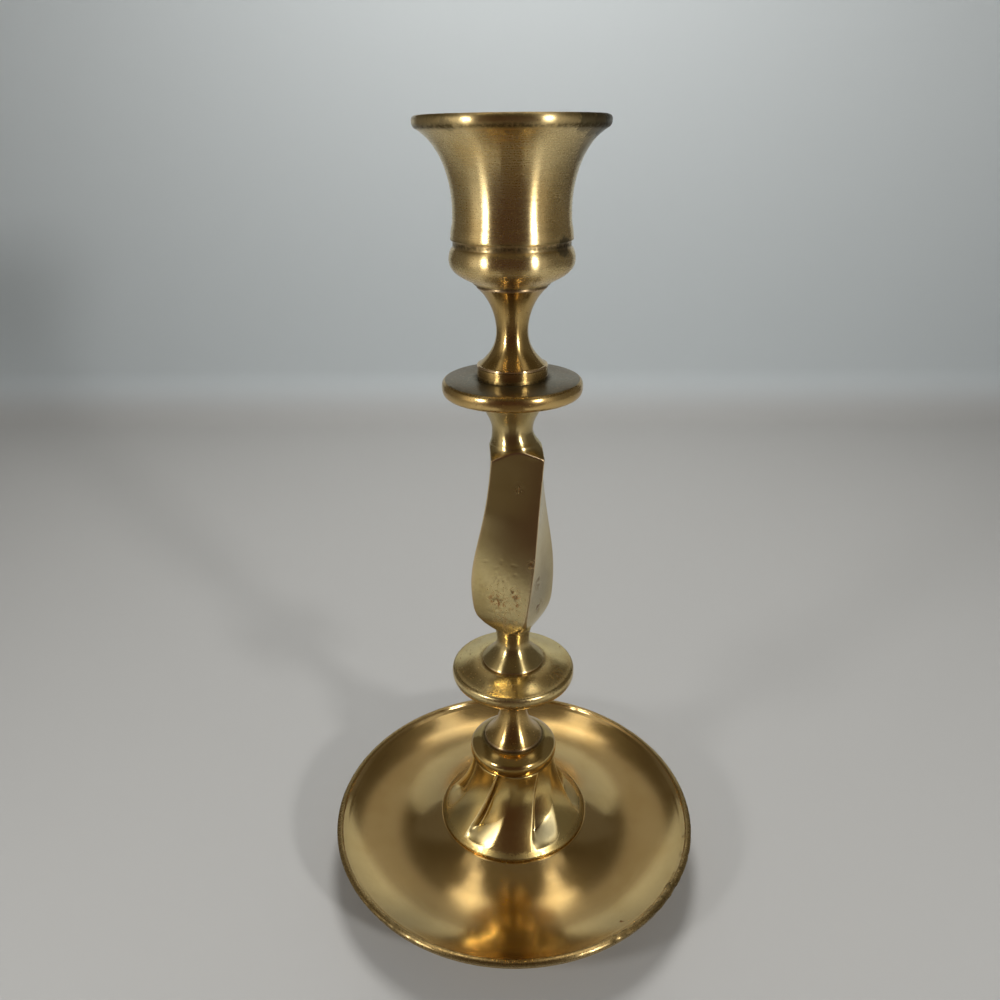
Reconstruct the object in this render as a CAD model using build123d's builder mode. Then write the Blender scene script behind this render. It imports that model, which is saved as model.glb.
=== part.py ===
from build123d import *
import os
from math import atan2, cos, radians, sin, sqrt

# A brass candle holder, about 8 inches tall: a round drip pan carries a fluted bell, and on the bell stands a
# stem of turned and cast sections. The middle section is a square baluster with a slow twist. The sections are
# clamped by two threaded studs: one joins the cup to the baluster, the other runs from the baluster down
# through the base to a nut under the pan.
# Millimetres, +Z up. The origin is on the axis, on the table that the pan's foot ring stands on.

# Studs, washer and nut
stud_diameter = 4.0
thread_clearance = 0.05        # radial: threads are drawn plain
bore_clearance = 0.15          # radial, where a stud only passes through
stud_chamfer = 0.4
stud_tip_gap = 0.5             # between a stud's end and the bottom of its tapped hole
stud_projection = 1.2          # of the lower stud below the nut
cup_tap_depth = 5.0
baluster_tap_depth = 11.0
washer_diameter = 12.0
washer_thickness = 1.0
nut_across_flats = 7.0
nut_height = 3.2
nut_chamfer = 0.5

# Drip pan
pan_diameter = 105.6
pan_thickness = 2.0
pan_boss_height = 13.1         # of the flat centre that the bell stands on, above the table
pan_ledge = 0.5                # flat width left outside the bell
pan_trough_diameter = 75.0     # circle of the lowest points of the upper face
pan_trough_depth = 4.4         # below the flat centre
pan_wall_rise = 4.2            # from the trough to the rim
rim_bead_radius = 0.85
foot_ring_diameter = 76.0
foot_ring_width = 3.0
foot_ring_chamfer = 0.5

# Fluted bell
bell_height = 21.5
bell_base_diameter = 42.7
bell_base_edge = 0.8           # upright edge at the foot
bell_top_diameter = 23.6
bell_wall = 4.0                # measured level
bell_roof = 5.0
flute_count = 6
flute_depth = 1.75
flute_radius = 8.0             # of the flute's round floor
flute_top_azimuth = -3.6       # middle of one flute at the top, in degrees from the front towards +X
flute_twist = -27.0            # from there down to the foot
flute_end_height = 5.4         # centre of the flute's round end, above the bell's foot

# Domed cap on the bell
cap_height = 5.95
cap_diameter = 24.7
cap_edge_height = 3.5
cap_edge_bulge = 0.95          # the rounded edge stands out by this much

# Spool, used twice: the upper one has its flange up, the lower one has it down
spool_length = 21.6
spool_flange_diameter = 16.4
spool_flange_edge = 0.6
spool_waist_diameter = 7.5
spool_waist_height = 10.6      # from the flange's face
spool_collar_diameter = 16.9
spool_collar_height = 3.3
spool_shoulder_diameter = 15.6

# Discs
disc_diameter = 33.75
disc_edge_height = 3.55
disc_edge_bulge = 0.65
seat_ledge = 0.3               # flat width left outside the piece that stands on a cap or disc
lower_disc_rise = 1.65         # of the coned top, from the edge to the baluster's foot
lower_disc_recess = 0.5        # the lower spool's collar sits this deep in the underside
recess_clearance = 0.1
upper_disc_rise = 0.45

# Twisted baluster
baluster_length = 75.95
neck_flange_diameter = 17.0
neck_flange_edge = 0.6
lower_waist_diameter = 8.8
lower_waist_height = 6.6
upper_waist_diameter = 10.05
upper_waist_depth = 8.95       # below the upper flange's face
body_foot_height = 10.8
body_foot_neck_diameter = 10.2
body_top_depth = 12.15         # below the upper flange's face
body_top_neck_diameter = 12.1
shoulder_drop = 3.0            # from there to where the turned shoulder cuts the square's corners
corner_top_diameter = 18.6
twist_start_height = 17.1      # below this the square no longer turns
twist_start_azimuth = 17.5     # of the front right corner there, in degrees from the front towards +X
twist_angle = 34.5             # from there up to the shoulder
twist_easing = 1.25            # above 1, the twist starts slowly
body_edge_radius = 0.4
body_foot_radius = 4.4         # corner radius of the square where it meets the lower neck
body_foot_blend = 6.5          # height over which that radius shrinks to the edge radius
body_section_count = 40
# Half width of the square at shares of the body's height
body_side_points = [
    (0.0, 5.1),
    (0.022, 5.8),
    (0.043, 6.45),
    (0.065, 7.05),
    (0.09, 7.45),
    (0.126, 7.8),
    (0.181, 8.05),
    (0.287, 8.4),
    (0.4, 8.3),
    (0.551, 7.6),
    (0.68, 6.95),
    (0.78, 6.67),
    (0.88, 6.6),
    (1.0, 6.6),
]

# Candle cup: heights are above the cup's foot
cup_height = 34.8
cup_foot_diameter = 17.4
cup_bulge_diameter = 28.6
cup_bulge_height = 5.6
cup_groove_diameter = 26.7
cup_groove_height = 8.2
cup_groove_width = 1.7
cup_body_diameter = 27.5
cup_waist_diameter = 26.4
cup_waist_height = 16.2
cup_mouth_diameter = 42.4
cup_lip_height = 2.3
cup_lip_bulge = 0.75
cup_lip_width = 1.0            # flat top of the rim
socket_diameter = 22.2         # for a standard 7/8 inch taper candle
socket_floor_height = 6.3
socket_flare_height = 20.6     # above this the socket opens into the mouth

# Shapes of the curves that turn upright at a waist: lead in, lead along and hold, as shares of the curve's extent
spool_flange_curve = (0.65, 0.24, 0.35)
spool_shoulder_curve = (0.26, 0.16, 0.57)
lower_flange_curve = (0.63, 0.48, 0.24)
lower_neck_curve = (0.58, 0.34, 0.21)
upper_flange_curve = (0.51, 0.49, 0.33)
upper_neck_curve = (0.64, 0.27, 0.33)
cup_foot_curve = (0.07, 0.17, 0.67)
cup_shoulder_curve = (0.58, 0.24, 0.43)
cup_body_curve = (0.26, 0.55, 0.75)
cup_flare_curve = (0.78, 0.21, 0.38)
mouth_curve = (0.73, 0.29, 0.1)

# Levels, from the table up
bell_foot = pan_boss_height
cap_foot = bell_foot + bell_height
lower_spool_foot = cap_foot + cap_height
lower_spool_top = lower_spool_foot + spool_length
lower_disc_foot = lower_spool_top - lower_disc_recess
baluster_foot = lower_disc_foot + disc_edge_height + lower_disc_rise
baluster_top = baluster_foot + baluster_length
upper_spool_foot = baluster_top + disc_edge_height + upper_disc_rise
cup_foot = upper_spool_foot + spool_length

stud_radius = stud_diameter / 2
bore_radius = stud_radius + bore_clearance
tap_radius = stud_radius + thread_clearance
disc_radius = disc_diameter / 2
collar_radius = spool_collar_diameter / 2
flange_radius = spool_flange_diameter / 2

os.makedirs("parts", exist_ok=True)


def section_plane(height):
    """Upright plane through the axis, with its X as radius and its Y as height above the given level."""
    return Plane(origin=(0, 0, height), x_dir=(1, 0, 0), z_dir=(0, -1, 0))


def waist_curve(rim, waist, shape):
    """Bezier curve from a rim to a waist, where it runs upright."""
    lead_in, lead_along, hold = shape
    inward, along = waist[0] - rim[0], waist[1] - rim[1]
    return Bezier(
        rim,
        (rim[0] + lead_in * inward, rim[1] + lead_along * along),
        (waist[0], waist[1] - hold * along),
        waist,
    )


def ring_azimuth(radius, height, azimuth):
    """Point at a radius and height, with its azimuth in degrees from the front (-Y) towards +X."""
    return (radius * sin(radians(azimuth)), -radius * cos(radians(azimuth)), height)


# Drip pan: its upper face is two arcs that share a level tangent at the trough, and its underside runs parallel
trough_radius = pan_trough_diameter / 2
trough_height = pan_boss_height - pan_trough_depth
ledge_radius = bell_base_diameter / 2 + pan_ledge
wall_radius = pan_diameter / 2 - 2 * rim_bead_radius
wall_height = trough_height + pan_wall_rise
slope_angle = 2 * atan2(pan_trough_depth, trough_radius - ledge_radius)
wall_angle = 2 * atan2(pan_wall_rise, wall_radius - trough_radius)
boss_underside = pan_boss_height - pan_thickness
trough_underside = trough_height - pan_thickness

with BuildPart() as drip_pan:
    with BuildSketch(section_plane(0)):
        with BuildLine():
            slope_under = (
                ledge_radius - pan_thickness * sin(slope_angle),
                pan_boss_height - pan_thickness * cos(slope_angle),
            )
            wall_under = (
                wall_radius + pan_thickness * sin(wall_angle),
                wall_height - pan_thickness * cos(wall_angle),
            )
            Polyline(
                slope_under,
                (slope_under[0], boss_underside),
                (bore_radius, boss_underside),
                (bore_radius, pan_boss_height),
                (ledge_radius, pan_boss_height),
            )
            TangentArc((trough_radius, trough_height), (ledge_radius, pan_boss_height), tangent=(-1, 0))
            TangentArc((trough_radius, trough_height), (wall_radius, wall_height), tangent=(1, 0))
            Line((wall_radius, wall_height), wall_under)
            TangentArc((trough_radius, trough_underside), wall_under, tangent=(1, 0))
            TangentArc((trough_radius, trough_underside), slope_under, tangent=(-1, 0))
        make_face()
        with Locations((pan_diameter / 2 - rim_bead_radius, wall_height)):
            Circle(rim_bead_radius)
        with BuildLine():
            foot_outer = foot_ring_diameter / 2
            foot_inner = foot_outer - foot_ring_width
            foot_top = trough_height - pan_thickness / 2
            Polyline(
                (foot_inner, foot_top),
                (foot_inner, foot_ring_chamfer),
                (foot_inner + foot_ring_chamfer, 0),
                (foot_outer - foot_ring_chamfer, 0),
                (foot_outer, foot_ring_chamfer),
                (foot_outer, foot_top),
                close=True,
            )
        make_face()
    revolve(axis=Axis.Z)

drip_pan.part.label = "drip_pan"
export_step(drip_pan.part, "parts/drip_pan.step")

# Fluted bell: its side is a parabola, upright at the top
bell_base_radius = bell_base_diameter / 2
bell_top_radius = bell_top_diameter / 2
bell_flare = bell_base_radius - bell_top_radius
flare_height = bell_height - bell_base_edge


def bell_surface(share, outward=0.0):
    """Radius and height above the bell's foot at a share of the flare's height down from the top."""
    slope = 2 * bell_flare * share / flare_height
    length = sqrt(1 + slope**2)
    radius = bell_top_radius + bell_flare * share**2 + outward / length
    height = bell_height - flare_height * share + outward * slope / length
    return radius, height


flute_end_share = (bell_height - flute_end_height) / flare_height
flute_shares = [-0.3 * flute_end_share, 0, 0.35 * flute_end_share, 0.7 * flute_end_share, flute_end_share]
flute_points = []
for share in flute_shares:
    flute_radius_here, flute_height_here = bell_surface(share, flute_radius - flute_depth)
    flute_azimuth_here = flute_top_azimuth + flute_twist * sin(radians(90 * share))
    flute_points.append(ring_azimuth(flute_radius_here, bell_foot + flute_height_here, flute_azimuth_here))

with BuildPart() as flute:
    with BuildLine() as flute_path:
        Spline(*flute_points)
    with BuildSketch(Plane(origin=flute_path.line @ 0, z_dir=flute_path.line % 0)):
        Circle(flute_radius)
    sweep()
    with Locations(flute_path.line @ 1):
        Sphere(flute_radius)

with BuildPart() as fluted_bell:
    with BuildSketch(section_plane(bell_foot)):
        with BuildLine():
            cavity_radius = bell_base_radius - bell_wall
            cavity_top_radius = bell_top_radius - bell_wall
            cavity_top = bell_height - bell_roof
            Polyline((cavity_radius, 0), (bell_base_radius, 0), (bell_base_radius, bell_base_edge))
            Bezier(
                (bell_base_radius, bell_base_edge),
                (bell_top_radius, (bell_base_edge + bell_height) / 2),
                (bell_top_radius, bell_height),
            )
            Polyline(
                (bell_top_radius, bell_height),
                (bore_radius, bell_height),
                (bore_radius, cavity_top),
                (cavity_top_radius, cavity_top),
            )
            Bezier(
                (cavity_top_radius, cavity_top),
                (cavity_top_radius, cavity_top / 2),
                (cavity_radius, 0),
            )
        make_face()
    revolve(axis=Axis.Z)
    with PolarLocations(0, flute_count):
        add(flute.part, mode=Mode.SUBTRACT)

fluted_bell.part.label = "fluted_bell"
export_step(fluted_bell.part, "parts/fluted_bell.step")

# Domed cap
with BuildPart() as base_cap:
    with BuildSketch(section_plane(cap_foot)):
        with BuildLine():
            cap_radius = cap_diameter / 2
            cap_seat = flange_radius + seat_ledge
            Polyline(
                (cap_seat, cap_height),
                (bore_radius, cap_height),
                (bore_radius, 0),
                (cap_radius - cap_edge_bulge, 0),
            )
            ThreePointArc(
                (cap_radius - cap_edge_bulge, 0),
                (cap_radius, cap_edge_height / 2),
                (cap_radius - cap_edge_bulge, cap_edge_height),
            )
            Line((cap_radius - cap_edge_bulge, cap_edge_height), (cap_seat, cap_height))
        make_face()
    revolve(axis=Axis.Z)

base_cap.part.label = "base_cap"
export_step(base_cap.part, "parts/base_cap.step")


def spool_section():
    """Half section of the spool, with its flange's face at height 0 and its collar above."""
    with BuildSketch() as section:
        with BuildLine():
            flange_corner = (flange_radius, spool_flange_edge)
            waist = (spool_waist_diameter / 2, spool_waist_height)
            shoulder = (spool_shoulder_diameter / 2, spool_length - spool_collar_height)
            Polyline((bore_radius, 0), (flange_radius, 0), flange_corner)
            waist_curve(flange_corner, waist, spool_flange_curve)
            waist_curve(shoulder, waist, spool_shoulder_curve)
            Polyline(
                shoulder,
                (collar_radius, shoulder[1]),
                (collar_radius, spool_length),
                (bore_radius, spool_length),
                (bore_radius, 0),
            )
        make_face()
    return section.sketch


with BuildPart() as lower_spool:
    with BuildSketch(section_plane(lower_spool_foot)):
        add(spool_section())
    revolve(axis=Axis.Z)

lower_spool.part.label = "lower_spool"
export_step(lower_spool.part, "parts/lower_spool.step")

with BuildPart() as upper_spool:
    with BuildSketch(Plane(origin=(0, 0, cup_foot), x_dir=(1, 0, 0), z_dir=(0, 1, 0))):
        add(spool_section())
    revolve(axis=Axis.Z)

upper_spool.part.label = "upper_spool"
export_step(upper_spool.part, "parts/upper_spool.step")


def disc_section(seat_radius, rise):
    """Half section of a disc: a level underside, a half-round edge and a coned top up to a flat seat."""
    top = disc_edge_height + rise
    with BuildSketch() as section:
        with BuildLine():
            Polyline(
                (seat_radius, top),
                (bore_radius, top),
                (bore_radius, 0),
                (disc_radius - disc_edge_bulge, 0),
            )
            ThreePointArc(
                (disc_radius - disc_edge_bulge, 0),
                (disc_radius, disc_edge_height / 2),
                (disc_radius - disc_edge_bulge, disc_edge_height),
            )
            Line((disc_radius - disc_edge_bulge, disc_edge_height), (seat_radius, top))
        make_face()
    return section.sketch


with BuildPart() as lower_disc:
    with BuildSketch(section_plane(lower_disc_foot)):
        add(disc_section(neck_flange_diameter / 2 + seat_ledge, lower_disc_rise))
    revolve(axis=Axis.Z)
    with BuildSketch(Plane.XY.offset(lower_disc_foot)):
        Circle(collar_radius + recess_clearance)
    extrude(amount=lower_disc_recess, mode=Mode.SUBTRACT)

lower_disc.part.label = "lower_disc"
export_step(lower_disc.part, "parts/lower_disc.step")

with BuildPart() as upper_disc:
    with BuildSketch(section_plane(baluster_top)):
        add(disc_section(collar_radius + seat_ledge, upper_disc_rise))
    revolve(axis=Axis.Z)

upper_disc.part.label = "upper_disc"
export_step(upper_disc.part, "parts/upper_disc.step")


# Heights above the baluster's foot
upper_waist_height = baluster_length - upper_waist_depth
body_top_height = baluster_length - body_top_depth
corner_top_height = body_top_height - shoulder_drop


def corner_azimuth(height):
    """Azimuth of the front right corner at a height above the baluster's foot."""
    share = (height - twist_start_height) / (corner_top_height - twist_start_height)
    share = min(max(share, 0), 1)
    return twist_start_azimuth + twist_angle * share**twist_easing


def corner_radius(height):
    """Corner radius of the square section at a height above the baluster's foot."""
    share = min((height - body_foot_height) / body_foot_blend, 1)
    return body_edge_radius + (body_foot_radius - body_edge_radius) * (1 - share) ** 2


# Twisted baluster: the lofted square is cut by the turned shoulder, then gets its turned necks
body_foot_neck = (body_foot_neck_diameter / 2, body_foot_height)
body_top_neck = (body_top_neck_diameter / 2, body_top_height)
corner_top = (corner_top_diameter / 2, corner_top_height)
shoulder_reach = corner_top_diameter
body_height = body_top_height - body_foot_height
shoulder_width = corner_top[0] - body_top_neck[0]

with BuildLine() as body_side:
    Spline(*[(width, body_foot_height + share * body_height) for share, width in body_side_points])

with BuildPart() as twisted_baluster:
    for index in range(body_section_count + 1):
        side_point = body_side.line @ (index / body_section_count)
        height = side_point.Y
        with BuildSketch(Plane.XY.offset(baluster_foot + height)):
            RectangleRounded(
                2 * side_point.X, 2 * side_point.X, corner_radius(height), rotation=corner_azimuth(height) - 45
            )
    loft()
    with BuildSketch(section_plane(baluster_foot)):
        with BuildLine():
            shoulder = Bezier(
                body_top_neck,
                (body_top_neck[0] + 0.05 * shoulder_width, body_top_height - 0.3 * shoulder_drop),
                (body_top_neck[0] + 0.4 * shoulder_width, body_top_height - 0.62 * shoulder_drop),
                corner_top,
            )
            outward = shoulder % 1
            shoulder_end = (
                shoulder_reach,
                corner_top_height + (shoulder_reach - corner_top[0]) * outward.Y / outward.X,
            )
            Polyline(
                corner_top,
                shoulder_end,
                (shoulder_reach, body_foot_height),
                (0, body_foot_height),
                (0, body_top_height),
                body_top_neck,
            )
        make_face()
    revolve(axis=Axis.Z, mode=Mode.INTERSECT)
    with BuildSketch(section_plane(baluster_foot)):
        with BuildLine():
            lower_flange = (neck_flange_diameter / 2, neck_flange_edge)
            lower_waist = (lower_waist_diameter / 2, lower_waist_height)
            Polyline(body_foot_neck, (0, body_foot_height), (0, 0), (lower_flange[0], 0), lower_flange)
            waist_curve(lower_flange, lower_waist, lower_flange_curve)
            waist_curve(body_foot_neck, lower_waist, lower_neck_curve)
        make_face()
        with BuildLine():
            upper_flange = (neck_flange_diameter / 2, baluster_length - neck_flange_edge)
            upper_waist = (upper_waist_diameter / 2, upper_waist_height)
            Polyline(
                body_top_neck,
                (0, body_top_height),
                (0, baluster_length),
                (upper_flange[0], baluster_length),
                upper_flange,
            )
            waist_curve(upper_flange, upper_waist, upper_flange_curve)
            waist_curve(body_top_neck, upper_waist, upper_neck_curve)
        make_face()
    revolve(axis=Axis.Z)
    with BuildSketch(Plane.XY.offset(baluster_foot)):
        Circle(tap_radius)
    extrude(amount=baluster_tap_depth, mode=Mode.SUBTRACT)
    with BuildSketch(Plane.XY.offset(baluster_top)):
        Circle(tap_radius)
    extrude(amount=-baluster_tap_depth, mode=Mode.SUBTRACT)

twisted_baluster.part.label = "twisted_baluster"
export_step(twisted_baluster.part, "parts/twisted_baluster.step")

# Candle cup
with BuildPart() as candle_cup:
    with BuildSketch(section_plane(cup_foot)):
        with BuildLine():
            foot = (cup_foot_diameter / 2, 0)
            bulge = (cup_bulge_diameter / 2, cup_bulge_height)
            groove = (cup_groove_diameter / 2, cup_groove_height)
            body_foot = (cup_body_diameter / 2, cup_groove_height + cup_groove_width)
            waist = (cup_waist_diameter / 2, cup_waist_height)
            lip_foot = (cup_mouth_diameter / 2 - cup_lip_bulge, cup_height - cup_lip_height)
            lip_top = (cup_mouth_diameter / 2 - cup_lip_bulge, cup_height)
            mouth = (lip_top[0] - cup_lip_width, cup_height)
            flare_foot = (socket_diameter / 2, socket_flare_height)
            Polyline((0, socket_floor_height), (0, cup_tap_depth), (tap_radius, cup_tap_depth), (tap_radius, 0), foot)
            waist_curve(foot, bulge, cup_foot_curve)
            waist_curve(groove, bulge, cup_shoulder_curve)
            Polyline(groove, (groove[0], body_foot[1]), body_foot)
            waist_curve(body_foot, waist, cup_body_curve)
            waist_curve(lip_foot, waist, cup_flare_curve)
            ThreePointArc(lip_foot, (cup_mouth_diameter / 2, cup_height - cup_lip_height / 2), lip_top)
            Line(lip_top, mouth)
            waist_curve(mouth, flare_foot, mouth_curve)
            Polyline(flare_foot, (socket_diameter / 2, socket_floor_height), (0, socket_floor_height))
        make_face()
    revolve(axis=Axis.Z)

candle_cup.part.label = "candle_cup"
export_step(candle_cup.part, "parts/candle_cup.step")


def stud_edges(foot, top):
    """Half outline of a stud between two levels, chamfered at both ends."""
    return [
        (0, foot),
        (stud_radius - stud_chamfer, foot),
        (stud_radius, foot + stud_chamfer),
        (stud_radius, top - stud_chamfer),
        (stud_radius - stud_chamfer, top),
        (0, top),
    ]


# Studs: each end stops short of the bottom of its tapped hole
engagement = baluster_tap_depth - stud_tip_gap
nut_top = boss_underside - washer_thickness
nut_foot = nut_top - nut_height

with BuildPart() as upper_stud:
    with BuildSketch(section_plane(0)):
        with BuildLine():
            Polyline(*stud_edges(baluster_top - engagement, cup_foot + cup_tap_depth - stud_tip_gap), close=True)
        make_face()
    revolve(axis=Axis.Z)

upper_stud.part.label = "upper_stud"
export_step(upper_stud.part, "parts/upper_stud.step")

with BuildPart() as lower_stud:
    with BuildSketch(section_plane(0)):
        with BuildLine():
            Polyline(*stud_edges(nut_foot - stud_projection, baluster_foot + engagement), close=True)
        make_face()
    revolve(axis=Axis.Z)

lower_stud.part.label = "lower_stud"
export_step(lower_stud.part, "parts/lower_stud.step")

with BuildPart() as base_washer:
    with BuildSketch(Plane.XY.offset(nut_top)):
        Circle(washer_diameter / 2)
        Circle(bore_radius, mode=Mode.SUBTRACT)
    extrude(amount=washer_thickness)

base_washer.part.label = "base_washer"
export_step(base_washer.part, "parts/base_washer.step")

# Hexagon nut, with its corners turned down on the lower face
nut_flat_radius = nut_across_flats / 2
nut_corner_radius = nut_flat_radius / cos(radians(30))

with BuildPart() as base_nut:
    with BuildSketch(Plane.XY.offset(nut_foot)):
        RegularPolygon(nut_flat_radius, 6, major_radius=False)
        Circle(tap_radius, mode=Mode.SUBTRACT)
    extrude(amount=nut_height)
    with BuildSketch(section_plane(nut_foot)):
        with BuildLine():
            Polyline(
                (0, 0),
                (nut_flat_radius, 0),
                (nut_corner_radius, nut_chamfer),
                (nut_corner_radius, nut_height),
                (0, nut_height),
                close=True,
            )
        make_face()
    revolve(axis=Axis.Z, mode=Mode.INTERSECT)

base_nut.part.label = "base_nut"
export_step(base_nut.part, "parts/base_nut.step")
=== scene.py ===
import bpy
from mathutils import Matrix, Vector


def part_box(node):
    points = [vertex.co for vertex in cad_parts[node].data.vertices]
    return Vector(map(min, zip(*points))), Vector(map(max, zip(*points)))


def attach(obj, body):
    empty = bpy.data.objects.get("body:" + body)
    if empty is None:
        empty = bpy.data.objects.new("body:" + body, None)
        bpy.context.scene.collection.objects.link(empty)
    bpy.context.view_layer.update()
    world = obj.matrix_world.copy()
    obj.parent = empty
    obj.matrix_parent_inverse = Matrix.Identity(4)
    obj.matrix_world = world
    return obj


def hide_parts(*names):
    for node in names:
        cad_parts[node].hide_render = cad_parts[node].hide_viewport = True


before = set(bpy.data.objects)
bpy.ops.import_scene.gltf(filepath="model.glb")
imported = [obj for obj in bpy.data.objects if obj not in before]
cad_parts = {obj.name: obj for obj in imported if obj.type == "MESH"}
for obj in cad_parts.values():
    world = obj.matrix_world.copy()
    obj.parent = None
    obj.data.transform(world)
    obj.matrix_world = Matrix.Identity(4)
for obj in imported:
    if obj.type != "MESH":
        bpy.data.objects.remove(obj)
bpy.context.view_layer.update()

import math
import random

import bpy
import numpy as np
from mathutils import Matrix, Vector

# Brass candle holder. Lengths are in millimetres until a mesh is written, which is in metres. Azimuths are in
# degrees from the front (-Y) towards +X. Heights are above the table, unless a comment says otherwise.
MM = 0.001

# Levels where the pieces of the stem meet, read from the frame
BELL_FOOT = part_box("fluted_bell")[0].z / MM
CAP_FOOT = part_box("base_cap")[0].z / MM
LOWER_SPOOL_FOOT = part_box("lower_spool")[0].z / MM
LOWER_DISC_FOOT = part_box("lower_disc")[0].z / MM
BALUSTER_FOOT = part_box("twisted_baluster")[0].z / MM
BALUSTER_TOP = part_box("twisted_baluster")[1].z / MM
UPPER_SPOOL_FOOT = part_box("upper_spool")[0].z / MM
CUP_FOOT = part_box("candle_cup")[0].z / MM
CUP_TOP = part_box("candle_cup")[1].z / MM

# Radii of the holes that the studs pass through and of those that they screw into
BORE = 2.15
TAP_RADIUS = 2.05

# Rings where grime gathers: (radius, height)
SEAMS = [
    (11.8, CAP_FOOT),
    (8.3, LOWER_SPOOL_FOOT),
    (8.55, BALUSTER_FOOT),
    (8.55, BALUSTER_TOP),
    (8.5, UPPER_SPOOL_FOOT),
    (8.5, CUP_FOOT),
    (13.4, CUP_FOOT + 9.0),
    (20.7, CUP_FOOT + 32.4),
]


def line(a, b, step=1.0):
    count = max(1, math.ceil(math.dist(a, b) / step))
    return [(a[0] + (b[0] - a[0]) * i / count, a[1] + (b[1] - a[1]) * i / count) for i in range(count + 1)]


def weighted(weights, points):
    return tuple(sum(w * p[k] for w, p in zip(weights, points)) for k in (0, 1))


def bezier(a, b, c, d, count=26):
    points = []
    for i in range(count + 1):
        t = i / count
        weights = ((1 - t) ** 3, 3 * t * (1 - t) ** 2, 3 * t * t * (1 - t), t**3)
        points.append(weighted(weights, (a, b, c, d)))
    return points


def waist_curve(rim, waist, shape, count=26):
    """From a rim to a waist, where the curve runs upright."""
    lead_in, lead_along, hold = shape
    dx, dy = waist[0] - rim[0], waist[1] - rim[1]
    lead = (rim[0] + lead_in * dx, rim[1] + lead_along * dy)
    return bezier(rim, lead, (waist[0], waist[1] - hold * dy), waist, count)


def arc(centre, radius, start, end, count=12):
    """Arc about a centre, with angles in degrees from the outward direction towards the top."""
    angles = [math.radians(start + (end - start) * i / count) for i in range(count + 1)]
    return [(centre[0] + radius * math.cos(a), centre[1] + radius * math.sin(a)) for a in angles]


def trough_arc(level, end, count=30):
    """Arc from a level tangent at one point to another point."""
    dx, dy = end[0] - level[0], end[1] - level[1]
    radius = (dx * dx + dy * dy) / (2 * dy)
    full = math.atan2(abs(dx), radius - dy)
    side = math.copysign(radius, dx)
    angles = [full * i / count for i in range(count + 1)]
    return [(level[0] + side * math.sin(a), level[1] + radius * (1 - math.cos(a))) for a in angles]


def join(*runs):
    points = []
    for run in runs:
        for point in run:
            if not points or math.dist(points[-1], point) > 1e-4:
                points.append(point)
    return points


def along(points, corners, ends, start, step, left):
    """Place at a length along an outline from one of its corners, and the last point passed on the way."""
    j, here = start, points[start]
    while True:
        k = (j + step) % len(points)
        length = math.dist(here, points[k])
        if length > left or k in corners or k in ends:
            # Two corners share the stretch between them
            share = min(left / length, 0.45 if k in corners else 0.9)
            return (here[0] + (points[k][0] - here[0]) * share, here[1] + (points[k][1] - here[1]) * share), j
        left -= length
        j, here = k, points[k]


def soften(points, radius, closed, sharp=22, steps=6):
    """Rounds each corner sharper than the given degrees, over a length of the outline on either side."""
    count = len(points)
    ends = () if closed else (0, count - 1)
    corners = []
    for i in range(count):
        a, b, c = points[i - 1], points[i], points[(i + 1) % count]
        turn = math.atan2(c[1] - b[1], c[0] - b[0]) - math.atan2(b[1] - a[1], b[0] - a[0])
        turn = math.degrees((turn + math.pi) % (2 * math.pi) - math.pi)
        if abs(turn) > sharp and i not in ends:
            corners.append(i)
    rounded = {}
    covered = set()
    for i in corners:
        before, first = along(points, corners, ends, i, -1, radius)
        after, last = along(points, corners, ends, i, 1, radius)
        covered.update((first + k) % count for k in range((last - first) % count + 1))
        shares = [step / steps for step in range(steps + 1)]
        weights = [((1 - t) ** 2, 2 * t * (1 - t), t * t) for t in shares]
        rounded[i] = [weighted(w, (before, points[i], after)) for w in weights]
    result = []
    for i in range(count):
        if i in rounded:
            result += rounded[i]
        elif i not in covered:
            result.append(points[i])
    return result


def new_object(name, data):
    made = bpy.data.objects.new(name, data)
    bpy.context.scene.collection.objects.link(made)
    return made


def new_mesh(name, vertices, faces, attributes):
    """Smooth mesh object, from millimetres, with its point attributes."""
    mesh = bpy.data.meshes.new(name)
    mesh.from_pydata((vertices * MM).tolist(), [], faces)
    mesh.validate()
    for key, values in attributes.items():
        layer = mesh.attributes.new(key, "FLOAT", "POINT")
        layer.data.foreach_set("value", np.asarray(values, np.float32))
    mesh.polygons.foreach_set("use_smooth", [True] * len(mesh.polygons))
    mesh.update()
    return new_object(name, mesh)


def grid_faces(rows, columns, closed):
    faces = []
    for i in range(rows if closed else rows - 1):
        a, b = i * columns, ((i + 1) % rows) * columns
        for j in range(columns):
            k = (j + 1) % columns
            faces.append((a + j, a + k, b + k, b + j))
    return faces


def edge_measure(points, closed):
    """How convex (above 0) or hollow (below 0) an outline is at each point, from its turns close by."""
    reach = 0.45
    p = np.array(points)
    ahead = np.roll(p, -1, 0) - p
    behind = p - np.roll(p, 1, 0)
    turn = np.arctan2(ahead[:, 1], ahead[:, 0]) - np.arctan2(behind[:, 1], behind[:, 0])
    turn = (turn + np.pi) % (2 * np.pi) - np.pi
    if not closed:
        turn[0] = turn[-1] = 0
    gap = np.linalg.norm(p[:, None] - p[None], axis=2)
    return (np.exp(-((gap / reach) ** 2)) * turn[None]).sum(1)


def dent_field(azimuth, height, radius, dents):
    """Depth of the dents at each point: a dent is (azimuth, height, reach, depth)."""
    depth = np.zeros_like(radius)
    for dent_azimuth, dent_height, reach, deep in dents:
        across = (azimuth - dent_azimuth + 180) % 360 - 180
        gap = np.hypot(np.radians(across) * radius, height - dent_height)
        depth += deep * np.exp(-((gap / reach) ** 2))
    return depth


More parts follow.
